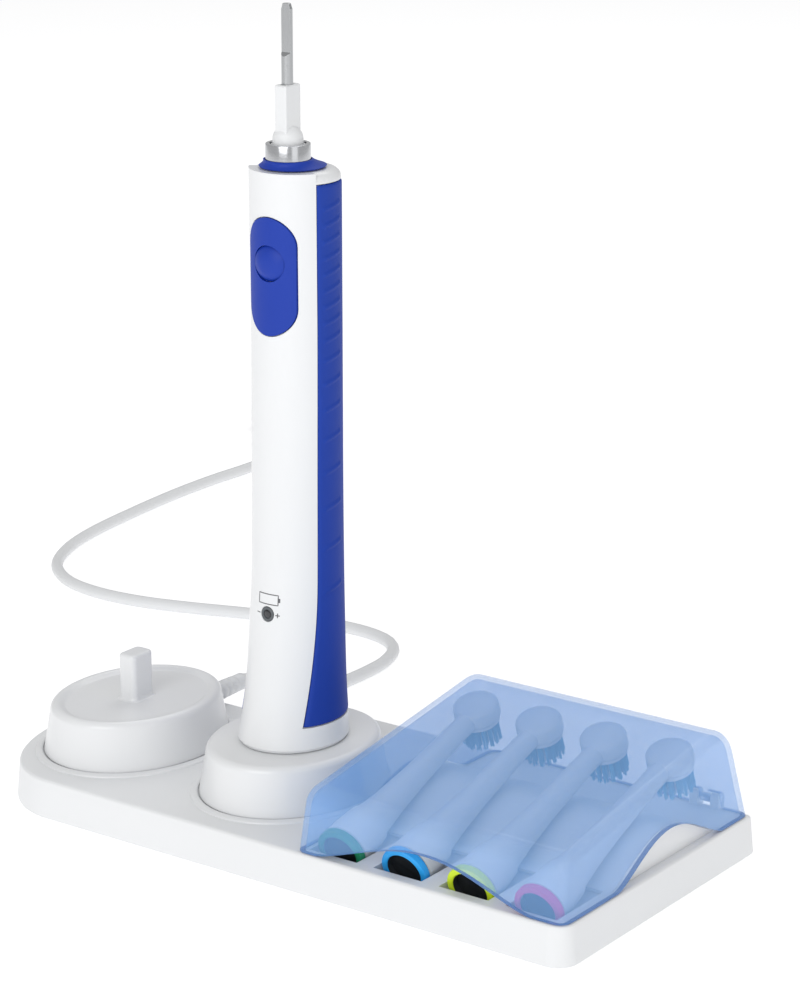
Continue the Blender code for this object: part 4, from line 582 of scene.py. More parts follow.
def make_cord():
    points = cord_route()
    curve = bpy.data.curves.new("mains_cord", "CURVE")
    curve.dimensions = "3D"
    curve.bevel_depth = CORD_DIAMETER / 2
    curve.bevel_resolution = 6
    curve.use_fill_caps = True
    spline = curve.splines.new("POLY")
    spline.points.add(len(points) - 1)
    for spot, point in zip(spline.points, points):
        spot.co = (*point, 1)
    spline.use_smooth = True
    cord = link(bpy.data.objects.new("mains_cord", curve))
    dress(cord, "cord_jacket", "stand", "cord_jacket", "cord", "cord_hank", "cord_tail")
    tie, body, pins = make_hank_tie(), make_plug(), make_plug_pins()
    relief = make_strain_relief()


def make_strain_relief():
    """A tapered sleeve with rounded ribs, hollow for the cord."""
    wall_y = CHARGER_AT[1] + DOCK_Y
    start = RELIEF_START
    end = start + RELIEF_LENGTH
    wide, narrow, bore = 3.1 * MM, CORD_DIAMETER / 2 + 0.55 * MM, CORD_DIAMETER / 2 + 0.08 * MM
    profile = [(bore, start), (wide, start), (wide, wall_y + 0.8 * MM)]
    ribs, first = 6, wall_y + 1.2 * MM
    pitch = (end - first - 1.2 * MM) / ribs
    for rib in range(ribs):
        share = rib / (ribs - 1)
        crest = wide + (narrow - wide) * share
        root = crest - 0.42 * MM * (1 - 0.5 * share)
        y = first + rib * pitch
        profile += [(root, y), (root, y + 0.18 * pitch), (crest, y + 0.34 * pitch), (crest, y + 0.86 * pitch)]
    profile += [(narrow, end - 0.3 * MM), (narrow - 0.2 * MM, end), (bore, end)]
    place = Matrix.Translation((CHARGER_AT[0], 0, CORD_HEIGHT)) @ Matrix.Rotation(-math.pi / 2, 4, "X")
    relief = turned("strain_relief", profile, closed=True, place=place, sides=40, smooth_below=50)
    return dress(relief, "cord_jacket", "stand", "cord_jacket", "cord_strain_relief")


def make_hank_tie():
    """A flat band round the folded cord."""
    high = FLOOR_LINE + HANK_TURNS * HANK_PITCH + 3.9 * MM
    half = HANK_TURN + CORD_DIAMETER / 2 + 0.35 * MM

    def band(grow):
        outline = rounded_outline((0, high / 2), 2 * (half + grow), high + 2 * grow, 2.6 * MM + grow)
        return [(y, max(z, 0.03 * MM)) for y, z in outline]

    loops = []
    middle = HANK_LENGTH / 2
    for x, grow in ((-3.0, 0.0), (-3.0, 0.7), (-2.6, 0.9), (2.6, 0.9), (3.0, 0.7), (3.0, 0.0)):
        loops.append([(middle + x * MM, y, z) for y, z in band(grow * MM)])
    tie = skin("cord_tie", loops, closed=True, place=LYING)
    return dress(tie, "dark_rubber", "stand", "grey_rubber", "hank_tie")


def make_plug():
    """A flat two-pin plug with a ribbed neck."""
    middle_z = OFF_FLOOR + PLUG_HEIGHT / 2
    neck = HANK_LENGTH + TAIL_LENGTH + 0.3 * MM
    sections = [(0, 6.0, 6.0), (0.3, 6.4, 6.4)]
    for rib in range(3):
        start = 1.2 + 2.2 * rib
        grown = 6.6 + 0.35 * rib
        for along, less in ((0, 0), (0.9, 0), (1.1, 0.9), (1.9, 0.9)):
            sections.append((start + along, grown - less, grown - less))
    sections += [
        (8.4, 8.4, 8.0), (11, 13.5, 10.4), (14, 19.2, 12.2), (17, 21.2, 12.6), (21, 23.2, 13.3),
        (26, 24.0, 13.6), (32.6, 24.0, 13.6), (33.7, 23.2, 12.8), (34.0, 22.0, 11.6),
    ]
    loops = []
    for x, width, height in sections:
        shape = rounded_outline((0, middle_z), width * MM, height * MM, min(width, height) * 0.42 * MM, 6)
        loops.append([(neck + x * MM, -y, z) for y, z in shape])
    piece = skin("plug_body_moulded", loops, place=LYING, smooth_below=40)
    return dress(piece, "white_satin", "stand", "white_plastic", "plug_body")


def make_plug_pins():
    """Two round pins, sleeved for half their length."""
    middle_z = OFF_FLOOR + PLUG_HEIGHT / 2
    face = HANK_LENGTH + TAIL_LENGTH + 0.3 * MM + 34 * MM + 0.3 * MM
    made = []
    for index, side in enumerate((-1, 1)):
        foot = Matrix.Translation((face, side * 9.3 * MM, middle_z))
        place = LYING @ foot @ Matrix.Rotation(math.pi / 2, 4, "Y")
        profile = [(1.9, 0), (1.9, 9.6), (2.0, 9.9), (2.0, 17.6), (1.8, 18.5), (1.2, 19.0)]
        pin = turned(f"plug_prong_{index + 1}", [(r * MM, z * MM) for r, z in profile], sides=32, place=place)
        made.append(dress(pin, "steel_turned", "stand", "steel", f"plug_pin_{index + 1}"))
    return made


# ---- Stand -------------------------------------------------------------------
def tray_outline(inset, corner_steps=10):
    """The stand's outline, anticlockwise from the front corner by the case, moved inwards."""
    right, front, back = TRAY_LENGTH / 2 - inset, inset - TRAY_DEPTH / 2, TRAY_DEPTH / 2 - inset
    points = []
    for centre_y, radius, start in ((front, 6.5 * MM, -0.5), (back, 1.5 * MM, 0.0)):
        radius = max(radius - inset, 0.6 * MM)
        middle_y = centre_y + radius if start else centre_y - radius
        for step in range(corner_steps + 1):
            turn = math.pi * (start + 0.5 * step / corner_steps)
            points.append((right - radius + radius * math.cos(turn), middle_y + radius * math.sin(turn)))
    lobe_x = TRAY_LENGTH / 2 + CHARGER_AT[0] - inset
    lobe_y = TRAY_DEPTH / 2 + CHARGER_AT[1] - inset
    lobe_back = CHARGER_AT[1] + lobe_y
    near, far, steps = -32 * MM, -62 * MM, 16
    for step in range(steps + 1):
        share = step / steps
        drop = (1 - math.cos(math.pi * share)) / 2
        points.append((near + (far - near) * share, back + (lobe_back - back) * drop))
    for step in range(1, 65):
        turn = math.pi * (0.5 + step / 64)
        points.append((CHARGER_AT[0] + lobe_x * math.cos(turn), CHARGER_AT[1] + lobe_y * math.sin(turn)))
    return points


def bell(start, end, rise, steps=32):
    """A smooth arch from one place to another: (place, height)."""
    shares = [step / steps for step in range(steps + 1)]
    return [(start + (end - start) * s, rise * math.sin(math.pi * s) ** 1.35) for s in shares]


def head_x(index):
    return HEAD_MIDDLE_X + (index - (HEAD_COUNT - 1) / 2) * HEAD_PITCH


def oval_stack(name, at, sections, closed=False, sides=128):
    """Ovals on one another: each section is (half width, half depth, height)."""
    return skin(name, [oval(at, *section, sides) for section in sections], closed)


def rounded_steps(radius, steps=5):
    """How far in and down a rounded edge is, from its side to its top."""
    turns = [math.pi / 2 * step / steps for step in range(steps + 1)]
    return [(radius * (1 - math.cos(t)), radius * (1 - math.sin(t))) for t in turns]


EDGE = 1.0 * MM
SLOT_FRONT_Y = HEAD_FRONT_Y - RING_RADIUS * math.sin(HEAD_TILT) - 0.7 * MM
SLOT_REACH_Y = HEAD_FRONT_Y + (RING_RADIUS + 0.7 * MM) / math.tan(HEAD_TILT)
SLOT_FLOOR = HEAD_FRONT_HEIGHT - RING_RADIUS - 0.7 * MM


def make_tray():
    foot, draft = 0.5 * MM, 1.0 * MM
    loops = [level(tray_outline(0.9 * MM), foot), level(tray_outline(0.25 * MM), foot + 0.25 * MM)]
    loops.append(level(tray_outline(0.0), foot + 0.9 * MM))
    for inward, down in rounded_steps(EDGE, 6):
        loops.append(level(tray_outline(draft - 0.05 * MM + inward), TRAY_TOP - down))
    tray = skin("tray_moulding", loops, smooth_below=50)
    cutters = []
    for index in range(HEAD_COUNT):
        half = RING_RADIUS + 0.7 * MM
        outline = [
            (SLOT_FRONT_Y, TRAY_TOP + 1 * MM), (SLOT_FRONT_Y, SLOT_FLOOR),
            (HEAD_FRONT_Y + RING_RADIUS * math.sin(HEAD_TILT), SLOT_FLOOR),
            (SLOT_REACH_Y, TRAY_TOP), (SLOT_REACH_Y, TRAY_TOP + 1 * MM),
        ]
        cutters.append(side_plate(f"slot_{index + 1}", head_x(index), 2 * half, outline))
    combine(tray, cutters, "DIFFERENCE")
    lips = []
    for name, at in (("charger", CHARGER_AT), ("holder", HOLDER_AT)):
        inner_x, inner_y = DOCK_X + 0.4 * MM, DOCK_Y + 0.4 * MM
        wide, high, sunk = 2.3 * MM, 0.9 * MM, TRAY_TOP - 0.5 * MM
        rise = [(inner_x, inner_y, sunk), (inner_x + wide, inner_y + wide, sunk)]
        rise.append((inner_x + wide, inner_y + wide, TRAY_TOP + 0.1 * MM))
        for step in range(1, 9):
            share = step / 9
            swell = math.sin(math.pi * (0.25 + 0.65 * share) / 2 * 1.1)
            reach = wide * (1 - 0.92 * share)
            rise.append((inner_x + reach, inner_y + reach, TRAY_TOP + high * min(1.0, swell)))
        rise.append((inner_x, inner_y, TRAY_TOP + 0.72 * high))
        lips.append(oval_stack(f"{name}_lip", at, rise, closed=True))
    lips.append(make_hump())
    combine(tray, lips + hinge_posts(), "UNION")
    soften(tray, 0.25 * MM)
    return dress(tray, "white_tray", "stand", "white_plastic", "tray")


def make_hump():
    """The ridge across the case that carries the necks."""
    start, end, rise = SIDE_ARCH
    arch = [(y, TRAY_TOP + z) for y, z in bell(start, end, rise)]
    clear = 0.3 * MM + LID_WALL + 0.6 * MM + LID_LEAN * rise / (LID_RIDGE - TRAY_TOP)
    left, right = CASE_LEFT + clear, TRAY_LENGTH / 2 - 1.0 * MM - clear
    outline = arch + [(end, TRAY_TOP - 1 * MM), (start, TRAY_TOP - 1 * MM)]
    return side_plate("hump", (left + right) / 2, right - left, outline)


HINGE_Y, HINGE_Z = 47.3 * MM, 15.4 * MM
HINGE_X = (30.0 * MM, 90.0 * MM)
EAR_RADIUS, EAR_WIDTH, PIN_LENGTH = 1.8 * MM, 3.0 * MM, 9.6 * MM
HINGE_ROOM = 0.6 * MM


def ear(name, x, width, foot):
    outline = [(HINGE_Y - EAR_RADIUS, foot), (HINGE_Y + EAR_RADIUS, foot)]
    for step in range(17):
        turn = math.pi * step / 16
        outline.append((HINGE_Y + EAR_RADIUS * math.cos(turn), HINGE_Z + EAR_RADIUS * math.sin(turn)))
    return side_plate(name, x, width, outline)


def hinge_posts():
    posts = []
    for index, x in enumerate(HINGE_X):
        for side in (-1, 1):
            middle = x + side * (EAR_WIDTH + 0.4 * MM)
            posts.append(ear(f"post_{index + 1}_{side + 1}", middle, EAR_WIDTH - 0.4 * MM, TRAY_TOP - 1 * MM))
    return posts


# ---- Docks -------------------------------------------------------------------
def make_dock(name, at, dished):
    foot = TRAY_TOP + 0.3 * MM
    dish = DOCK_TOP - DISH_DEPTH if dished else DOCK_TOP
    edge = 2.2 * MM
    sections = [(1.8, foot + 3 * MM), (1.8, foot), (0.35, foot), (0.0, foot + 0.35 * MM)]
    sections += [(DOCK_DRAFT / MM * 0.85, DOCK_TOP - edge)]
    for step in range(1, 9):
        turn = math.pi / 2 * step / 8
        sections.append((2.04 + 2.2 * (1 - math.cos(turn)), DOCK_TOP - edge + edge * math.sin(turn)))
    if dished:
        sections += [(4.9, DOCK_TOP - 0.06 * MM), (5.6, DOCK_TOP - 0.45 * MM)]
        sections += [(6.2, dish + 0.18 * MM), (6.9, dish)]
    outer = [(DOCK_X - inset * MM, DOCK_Y - inset * MM, height) for inset, height in sections]
    housing = oval_stack(f"{name}_shell", at, outer)
    peg_top = dish + PEG_HEIGHT
    rise = [level(rounded_outline(at, 8.4 * MM, 11.2 * MM, 2.6 * MM), dish - 0.5 * MM)]
    for out, up in ((2.0, 0.04), (1.0, 0.25), (0.35, 0.75), (0.0, 1.6)):
        flare = rounded_outline(at, (6.4 + out) * MM, (9.2 + out) * MM, (1.7 + out / 2) * MM)
        rise.append(level(flare, dish + up * MM))
    for inward, down in rounded_steps(0.9 * MM):
        size = (6.4 * MM - 2 * inward, 9.2 * MM - 2 * inward)
        rise.append(level(rounded_outline(at, *size, 1.7 * MM - 0.8 * inward), peg_top - down))
    combine(housing, [skin(f"{name}_peg", rise)], "UNION")
    soften(housing, 0.12 * MM)
    return dress(housing, "white_gloss", "stand", "white_plastic", f"{name}_housing")


# ---- Handle ------------------------------------------------------------------
# height above the ground, half width, half depth, and how far the section's middle lies behind the shaft
HANDLE_SECTIONS = (
    (27.6, 14.6, 16.7, 0.0), (28.5, 15.2, 17.3, 0.0), (38.0, 14.2, 15.9, 0.9), (47.0, 13.7, 15.0, 1.4),
    (59.0, 13.3, 14.3, 1.9), (77.0, 12.9, 13.4, 2.5), (104.0, 12.8, 12.9, 2.7), (150.0, 12.8, 12.45, 3.0),
    (189.6, 12.85, 12.5, 2.9), (191.0, 12.3, 12.0, 2.7), (192.2, 9.7, 9.9, 2.2),
)


def handle_section(height):
    """Half width, half depth and setback of the handle's oval, on a smooth curve up the middle."""
    rows = HANDLE_SECTIONS
    height = min(max(height / MM, rows[0][0]), rows[-1][0])
    index = next(i for i in range(len(rows) - 1) if height <= rows[i + 1][0])
    low, high = rows[index], rows[index + 1]
    share = (height - low[0]) / (high[0] - low[0])
    if not 1 <= index <= 6:
        return [(a + (b - a) * share) * MM for a, b in zip(low[1:], high[1:])]
    before = rows[index - 1] if index > 1 else low
    after = rows[index + 2] if index < 7 else high
    values = []
    for column in (1, 2, 3):
        slope_in = (high[column] - before[column]) / (high[0] - before[0])
        slope_out = (after[column] - low[column]) / (after[0] - low[0])
        span = high[0] - low[0]
        s, s2, s3 = share, share**2, share**3
        value = (2 * s3 - 3 * s2 + 1) * low[column] + (s3 - 2 * s2 + s) * span * slope_in
        value += (3 * s2 - 2 * s3) * high[column] + (s3 - s2) * span * slope_out
        values.append(value * MM)
    return values


def handle_front(height, x=0.0):
    half_x, half_y, back = handle_section(height)
    return back - half_y * math.sqrt(max(0.0, 1 - (x / half_x) ** 2))


def grip_edge(height):
    share = min(1.0, max(0.0, (height - GRIP_BOTTOM) / (75 * MM - GRIP_BOTTOM)))
    return math.radians(49 + 14.8 * math.sin(share * math.pi / 2))


def skin_point(height, angle, inset):
    """A point of the handle's skin, the angle counted from the front towards +X."""
    half_x, half_y, back = handle_section(height)
    x = (half_x - inset) * math.sin(angle)
    y = back - (half_y - inset) * math.cos(angle)
    return (HOLDER_AT[0] + x, HOLDER_AT[1] + y, height)


def heights(low, high, step):
    count = max(1, round((high - low) / step))
    return [low + (high - low) * i / count for i in range(count + 1)]


def handle_ring(height, inset, sides=160):
    half_x, half_y, back = handle_section(height)
    return oval((HOLDER_AT[0], HOLDER_AT[1] + back), half_x - inset, half_y - inset, height, sides)


def shell_ring(height, recess, front_steps=40, rest_steps=96):
    edge = grip_edge(height)
    front = [edge * (2 * i / front_steps - 1) for i in range(front_steps + 1)]
    rest = [edge + (FULL_TURN - 2 * edge) * (i + 0.06) / (rest_steps + 0.12) for i in range(rest_steps + 1)]
    return [skin_point(height, a, 0) for a in front] + [skin_point(height, a, recess) for a in rest]


def obround(half_width, half_height, middle, steps=24):
    points = []
    for end in (1, -1):
        for i in range(steps + 1):
            turn = math.pi * i / steps if end > 0 else math.pi * (1 + i / steps)
            rise = end * (half_height - half_width) + half_width * math.sin(turn)
            points.append((half_width * math.cos(turn), middle + rise))
    return points


def front_prism(name, outline, near, far):
    """An outline in X and Z carried along Y, in front of the shaft."""
    return skin(name, [[(HOLDER_AT[0] + x, HOLDER_AT[1] + y, z) for x, z in outline] for y in (near, far)])


def front_sleeve(name, inset, low, high):
    return skin(name, [handle_ring(z, inset) for z in heights(low, high, 2 * MM)])


def front_dish(name, profile, height, sides=64):
    """Turned about a line through the handle's front: the profile is (radius, y from the shaft)."""
    place = Matrix.Translation((HOLDER_AT[0], HOLDER_AT[1], height)) @ Matrix.Rotation(-math.pi / 2, 4, "X")
    return turned(name, profile, sides=sides, place=place)


def make_handle_shell():
    recess = 1.15 * MM
    base = [shell_ring(z * MM, 0) for z in (27.6, 27.75, 28.1, 28.5, 29.6, 31, 33)]
    base += [shell_ring(GRIP_BOTTOM - 0.06 * MM, 0), shell_ring(GRIP_BOTTOM, recess)]
    middle = [shell_ring(z, recess) for z in heights(GRIP_BOTTOM + 1 * MM, GRIP_TOP - 1 * MM, 2.5 * MM)]
    top = [shell_ring(GRIP_TOP, recess), shell_ring(GRIP_TOP + 0.06 * MM, 0), shell_ring(SHOULDER, 0)]
    shoulder = []
    for step in range(1, 9):
        turn = math.pi / 2 * step / 8
        z = SHOULDER + 2.6 * MM * math.sin(turn)
        inward = 3.0 * MM * (1 - math.cos(turn))
        shoulder.append([(x, y, z) for x, y, _ in shell_ring(SHOULDER, inward)])
    rings = base + middle + top
    shell = skin("handle_casing", rings + shoulder, smooth_below=50)
    near = handle_front(PAD_MIDDLE) - 3 * MM
    room = 0.28 * MM
    outline = obround(PAD_WIDTH / 2 + room, PAD_HEIGHT / 2 + room, PAD_MIDDLE)
    pocket = front_prism("pocket", outline, near, -3 * MM)
    combine(pocket, [front_sleeve("pocket_floor", 1.0 * MM, PAD_LOW, PAD_HIGH)], "DIFFERENCE")
    front = handle_front(LED_AT)
    seat = front_dish("led_seat", [(2.25 * MM, front - 1 * MM), (2.25 * MM, front + 1.5 * MM)], LED_AT)
    hole = BUTTON_RADIUS + 0.25 * MM
    button_hole = front_dish("button_hole", [(hole, near), (hole, -6.5 * MM)], BUTTON_AT)
    combine(shell, [pocket, seat, button_hole], "DIFFERENCE")
    soften(shell, 0.10 * MM, angle=45)
    return dress(shell, "white_gloss", "handle", "white_plastic", "handle_shell")


RIB_COUNT = 17


def rib_height(index):
    """The ribs draw apart down the handle."""
    return (182.8 - 4.55 * index - 0.335 * max(0, index - 7) ** 2.13) * MM


def rib_lift(height, angle):
    """How far a slanted rib stands proud of the grip at a height and an angle from the front."""
    half = math.radians(19)
    for index in range(RIB_COUNT):
        for middle in (math.pi / 2, FULL_TURN - math.pi / 2):
            off = angle - middle
            if abs(off) > half:
                continue
            slant = 0.9 * MM * (off if middle < math.pi else -off) / half
            away = abs(height - rib_height(index) - slant)
            if away < 0.75 * MM:
                ends = min(1.0, (half - abs(off)) / math.radians(4))
                return 0.32 * MM * ends * math.cos(away / (0.75 * MM) * math.pi / 2) ** 0.7
    return 0.0


def make_grip():
    """The soft wrap over both sides and the back, with low slanted ribs on its sides."""
    steps, inner_steps, proud, deep = 120, 30, 0.15 * MM, 0.8 * MM
    low, high = GRIP_BOTTOM + 0.3 * MM, GRIP_TOP - 0.3 * MM
    rings = []
    for height in heights(low, high, 0.36 * MM):
        edge = grip_edge(height) + math.radians(1.2)
        from_end = min(height - low, high - height)
        fade = min(1.0, from_end / (0.5 * MM))
        outer = []
        for i in range(steps + 1):
            angle = edge + (FULL_TURN - 2 * edge) * i / steps
            from_side = min(i, steps - i)
            round_off = 0.35 * MM * (1 - min(1.0, from_side / 1.6)) + 0.3 * MM * (1 - fade)
            outer.append(skin_point(height, angle, round_off - proud - rib_lift(height, angle)))
        sweep = FULL_TURN - 2 * edge
        inner = [skin_point(height, edge + sweep * i / inner_steps, deep) for i in range(inner_steps, -1, -1)]
        rings.append(outer + inner)
    grip = skin("grip_wrap", rings, smooth_below=60)
    return dress(grip, "grip_rubber", "handle", "blue_rubber", "rubber_grip")


def make_switch_pad():
    near = handle_front(PAD_MIDDLE) - 3 * MM
    pad = front_prism("pad", obround(PAD_WIDTH / 2, PAD_HEIGHT / 2, PAD_MIDDLE), near, -3 * MM)
    combine(pad, [front_sleeve("pad_face", -0.25 * MM, PAD_LOW, PAD_HIGH)], "INTERSECT")
    crease = BUTTON_RADIUS + 0.10 * MM
    hole = front_dish("hole", [(crease, near), (crease, -2 * MM)], BUTTON_AT)
    combine(pad, [front_sleeve("pad_back", 0.7 * MM, PAD_LOW, PAD_HIGH), hole], "DIFFERENCE")
    pad.name = "switch_pad_skin"
    soften(pad, 0.28 * MM, 3, angle=45)
    return dress(pad, "pad_rubber", "handle", "blue_rubber", "switch_pad")


def make_button():
    """A shallow dome that leaves a crease round it."""
    rim = handle_front(BUTTON_AT, BUTTON_RADIUS) - 0.3 * MM
    crown = handle_front(BUTTON_AT) - 0.9 * MM
    back = handle_front(BUTTON_AT) + 4.0 * MM
    profile = [(0.2 * MM, crown)]
    for step in range(1, 17):
        share = step / 16
        profile.append((BUTTON_RADIUS * share, crown + (rim - crown) * share**2.6))
    profile += [(BUTTON_RADIUS, rim + 0.5 * MM), (BUTTON_RADIUS - 0.3 * MM, back)]
    button = front_dish("button_cap", profile, BUTTON_AT, sides=96)
    return dress(button, "pad_rubber", "power_button", "blue_rubber", "power_button")


def ribbon(points, width, closed=False):
    """The two sides of a narrow line through points in X and Z."""
    count = len(points)
    sides = ([], [])
    for i, (x, z) in enumerate(points):
        ahead = points[(i + 1) % count] if closed or i + 1 < count else points[i]
        behind = points[i - 1] if closed or i else points[i]
        dx, dz = ahead[0] - behind[0], ahead[1] - behind[1]
        size = math.hypot(dx, dz) or 1.0
        for side, sign in zip(sides, (1, -1)):
            side.append((x - sign * dz / size * width / 2, z + sign * dx / size * width / 2))
    return sides


def on_front(x, z, lift):
    half_x, half_y, back = handle_section(z)
    y = back - (half_y + lift) * math.sqrt(max(0.0, 1 - (x / half_x) ** 2))
    return (HOLDER_AT[0] + x, HOLDER_AT[1] + y, z)


def printed_line(bm, points, width, closed=False):
    """A thin printed line lying on the handle's front."""
    left, right = ribbon(points, width, closed)
    lift, sunk = 0.035 * MM, -0.05 * MM
    loops = []
    for (a, b), (c, d) in zip(left, right):
        loops.append([on_front(a, b, sunk), on_front(a, b, lift), on_front(c, d, lift), on_front(c, d, sunk)])
    fill_through(bm, [ring(bm, loop) for loop in loops], closed)


def line_of(corners, spacing=0.4 * MM):
    points = []
    for (a, b), (c, d) in zip(corners, corners[1:]):
        count = max(1, round(math.hypot(c - a, d - b) / spacing))
        points += [(a + (c - a) * i / count, b + (d - b) * i / count) for i in range(count)]
    return points + [corners[-1]]


def make_marks():
    """A plain battery outline over the light, with a minus and a plus beside it."""
    bm = bmesh.new()
    width, tall, low = 6.6 * MM, 2.9 * MM, LED_AT + 2.9 * MM
    stroke = 0.28 * MM
    corners = [(-width / 2, low), (width / 2, low), (width / 2, low + tall), (-width / 2, low + tall)]
    printed_line(bm, line_of([*corners, corners[0]])[:-1], stroke, closed=True)
    tip = [(width / 2 + 0.35 * MM, low + 0.85 * MM), (width / 2 + 0.35 * MM, low + tall - 0.85 * MM)]
    printed_line(bm, line_of(tip), 0.5 * MM)
    for side, upright in ((-3.3 * MM, False), (3.3 * MM, True)):
        printed_line(bm, line_of([(side - 0.65 * MM, LED_AT), (side + 0.65 * MM, LED_AT)]), stroke)
        if upright:
            for end in (-1, 1):
                start, stop = LED_AT + end * 0.16 * MM, LED_AT + end * 0.65 * MM
                printed_line(bm, line_of([(side, start), (side, stop)]), stroke)
    marks = mesh_piece("printed_marks", bm)
    return dress(marks, "ink_grey", "handle", "lens")


def make_light():
    front = handle_front(LED_AT)
    profile = [(0.15, -0.05), (0.9, -0.02), (1.15, 0.1), (1.2, 0.3), (1.2, 1.2)]
    lens = front_dish("light_lens", [(r * MM, front + y * MM) for r, y in profile], LED_AT)
    dress(lens, "lens_smoke", "handle", "lens", "led_lens")
    profile = [(1.3, 0.35), (1.3, 0.1), (1.45, -0.08), (1.95, -0.08), (2.15, 0.06), (2.15, 1.3), (1.3, 1.2)]
    bezel = front_dish("light_bezel", [(r * MM, front + y * MM) for r, y in profile], LED_AT)
    return dress(bezel, "lens_ring", "handle", "lens")


SEAL_FOOT = SHELL_TOP + 0.3 * MM
COLLAR_TOP, COLLAR_RADIUS, COLLAR_BORE = 199.2 * MM, 6.25 * MM, 5.05 * MM
POST_FOOT, POST_TOP, POST_BORE = 188.9 * MM, 215.2 * MM, 1.68 * MM
SHAFT_FOOT, SHAFT_TOP, SHAFT_RADIUS = 152.8 * MM, 237.1 * MM, 1.6 * MM


def make_seal():
    """The blue seal, narrowing from the shell's top to the collar."""
    set_back, open_radius = 2.0 * MM, 6.55 * MM
    back = (HOLDER_AT[0], HOLDER_AT[1] + set_back)
    loops = [oval(HOLDER_AT, open_radius, open_radius, SEAL_FOOT), oval(back, 9.0 * MM, 9.2 * MM, SEAL_FOOT)]
    loops.append(oval(back, 9.3 * MM, 9.5 * MM, SEAL_FOOT + 0.35 * MM))
    for step in range(1, 9):
        share = step / 8
        centre = (HOLDER_AT[0], HOLDER_AT[1] + set_back * (1 - share))
        curve = 1 - (1 - share) ** 1.6
        half = 9.3 * MM + (open_radius + 0.35 * MM - 9.3 * MM) * curve
        height = SEAL_FOOT + 0.35 * MM + 1.95 * MM * share
        loops.append(oval(centre, half, half + 0.2 * MM * (1 - share), height))
    loops.append(oval(HOLDER_AT, open_radius, open_radius, SEAL_FOOT + 2.4 * MM))
    seal = skin("neck_gasket", loops, closed=True, smooth_below=50)
    return dress(seal, "pad_rubber", "handle", "blue_rubber", "neck_seal")


def make_collar():
    outer = COLLAR_RADIUS
    profile = [(COLLAR_BORE, SEAL_FOOT), (outer, SEAL_FOOT), (outer, COLLAR_TOP - 0.35 * MM)]
    profile.append((outer - 0.1 * MM, COLLAR_TOP - 0.1 * MM))
    profile += [(outer - 0.35 * MM, COLLAR_TOP), (COLLAR_BORE, COLLAR_TOP)]
    collar = turned("collar_ring", profile, HOLDER_AT, 96, closed=True)
    return dress(collar, "steel_turned", "handle", "steel", "steel_collar")


def make_post():
    """The white dome in the collar and the flat-sided column on it, bored for the shaft."""
    deck = COLLAR_TOP - 0.4 * MM
    bore, foot = POST_BORE / MM, POST_FOOT / MM
    profile = [(bore, foot), (4.75, foot), (4.75, deck / MM)]
    profile += [(4.3, deck / MM + 0.1), (4.25, deck / MM + 1.6)]
    for turn in range(12, 61, 8):
        lean = math.radians(turn)
        profile.append((4.25 * math.cos(lean), deck / MM + 1.6 + 3.8 * math.sin(lean)))
    profile.append((bore, deck / MM + 5.2))
    post = turned("post_dome", [(r * MM, z * MM) for r, z in profile], HOLDER_AT, 96, closed=True)
    outline = rounded_outline(HOLDER_AT, 4.0 * MM, 6.6 * MM, 0.35 * MM, 4)
    tip = rounded_outline(HOLDER_AT, 3.5 * MM, 6.1 * MM, 0.3 * MM, 4)
    loops = [level(outline, deck), level(outline, POST_TOP - 0.35 * MM), level(tip, POST_TOP)]
    through = [(POST_BORE, 188 * MM), (POST_BORE, POST_TOP + 1 * MM)]
    combine(post, [skin("column", loops)], "UNION")
    combine(post, [turned("bore", through, HOLDER_AT, 48)], "DIFFERENCE")
    post.name = "shaft_column"
    soften(post, 0.12 * MM)
    return dress(post, "white_satin", "handle", "white_plastic", "shaft_post")


def make_shaft():
    """The steel shaft with a chamfered tip and a flat on its front."""
    radius, top = SHAFT_RADIUS, SHAFT_TOP
    profile = [(radius, SHAFT_FOOT), (radius, top - 1.5 * MM), (radius - 0.12 * MM, top - 1.3 * MM)]
    profile += [(radius * 0.72, top - 0.1 * MM), (radius * 0.62, top)]
    shaft = turned("shaft_rod", profile, HOLDER_AT, 64)
    flat, above = HOLDER_AT[1] - 0.5 * MM, 239 * MM
    outline = [(flat, 223.9 * MM), (flat, above), (flat - 5 * MM, above), (flat - 5 * MM, 219.4 * MM)]
    combine(shaft, [side_plate("flat", HOLDER_AT[0], 8 * MM, outline)], "DIFFERENCE")
    soften(shaft, 0.05 * MM)
    return dress(shaft, "steel_drawn", "drive_shaft", "steel", "drive_shaft")


# ---- Lid ---------------------------------------------------------------------
def fillet(corner, before, after, radius, steps):
    """Points of a round corner between two straight runs, in Y and Z."""
    u, v = (before - corner).normalized(), (after - corner).normalized()
    half = math.acos(max(-1.0, min(1.0, u.dot(v)))) / 2
    centre = corner + (u + v).normalized() * radius / math.sin(half)
    first = corner + u * radius / math.tan(half) - centre
    last = corner + v * radius / math.tan(half) - centre
    sweep = math.atan2(first.x * last.y - first.y * last.x, first.dot(last))
    points = []
    for step in range(steps + 1):
        c, s = math.cos(sweep * step / steps), math.sin(sweep * step / steps)
        points.append(centre + Vector((first.x * c - first.y * s, first.x * s + first.y * c)))
    return points


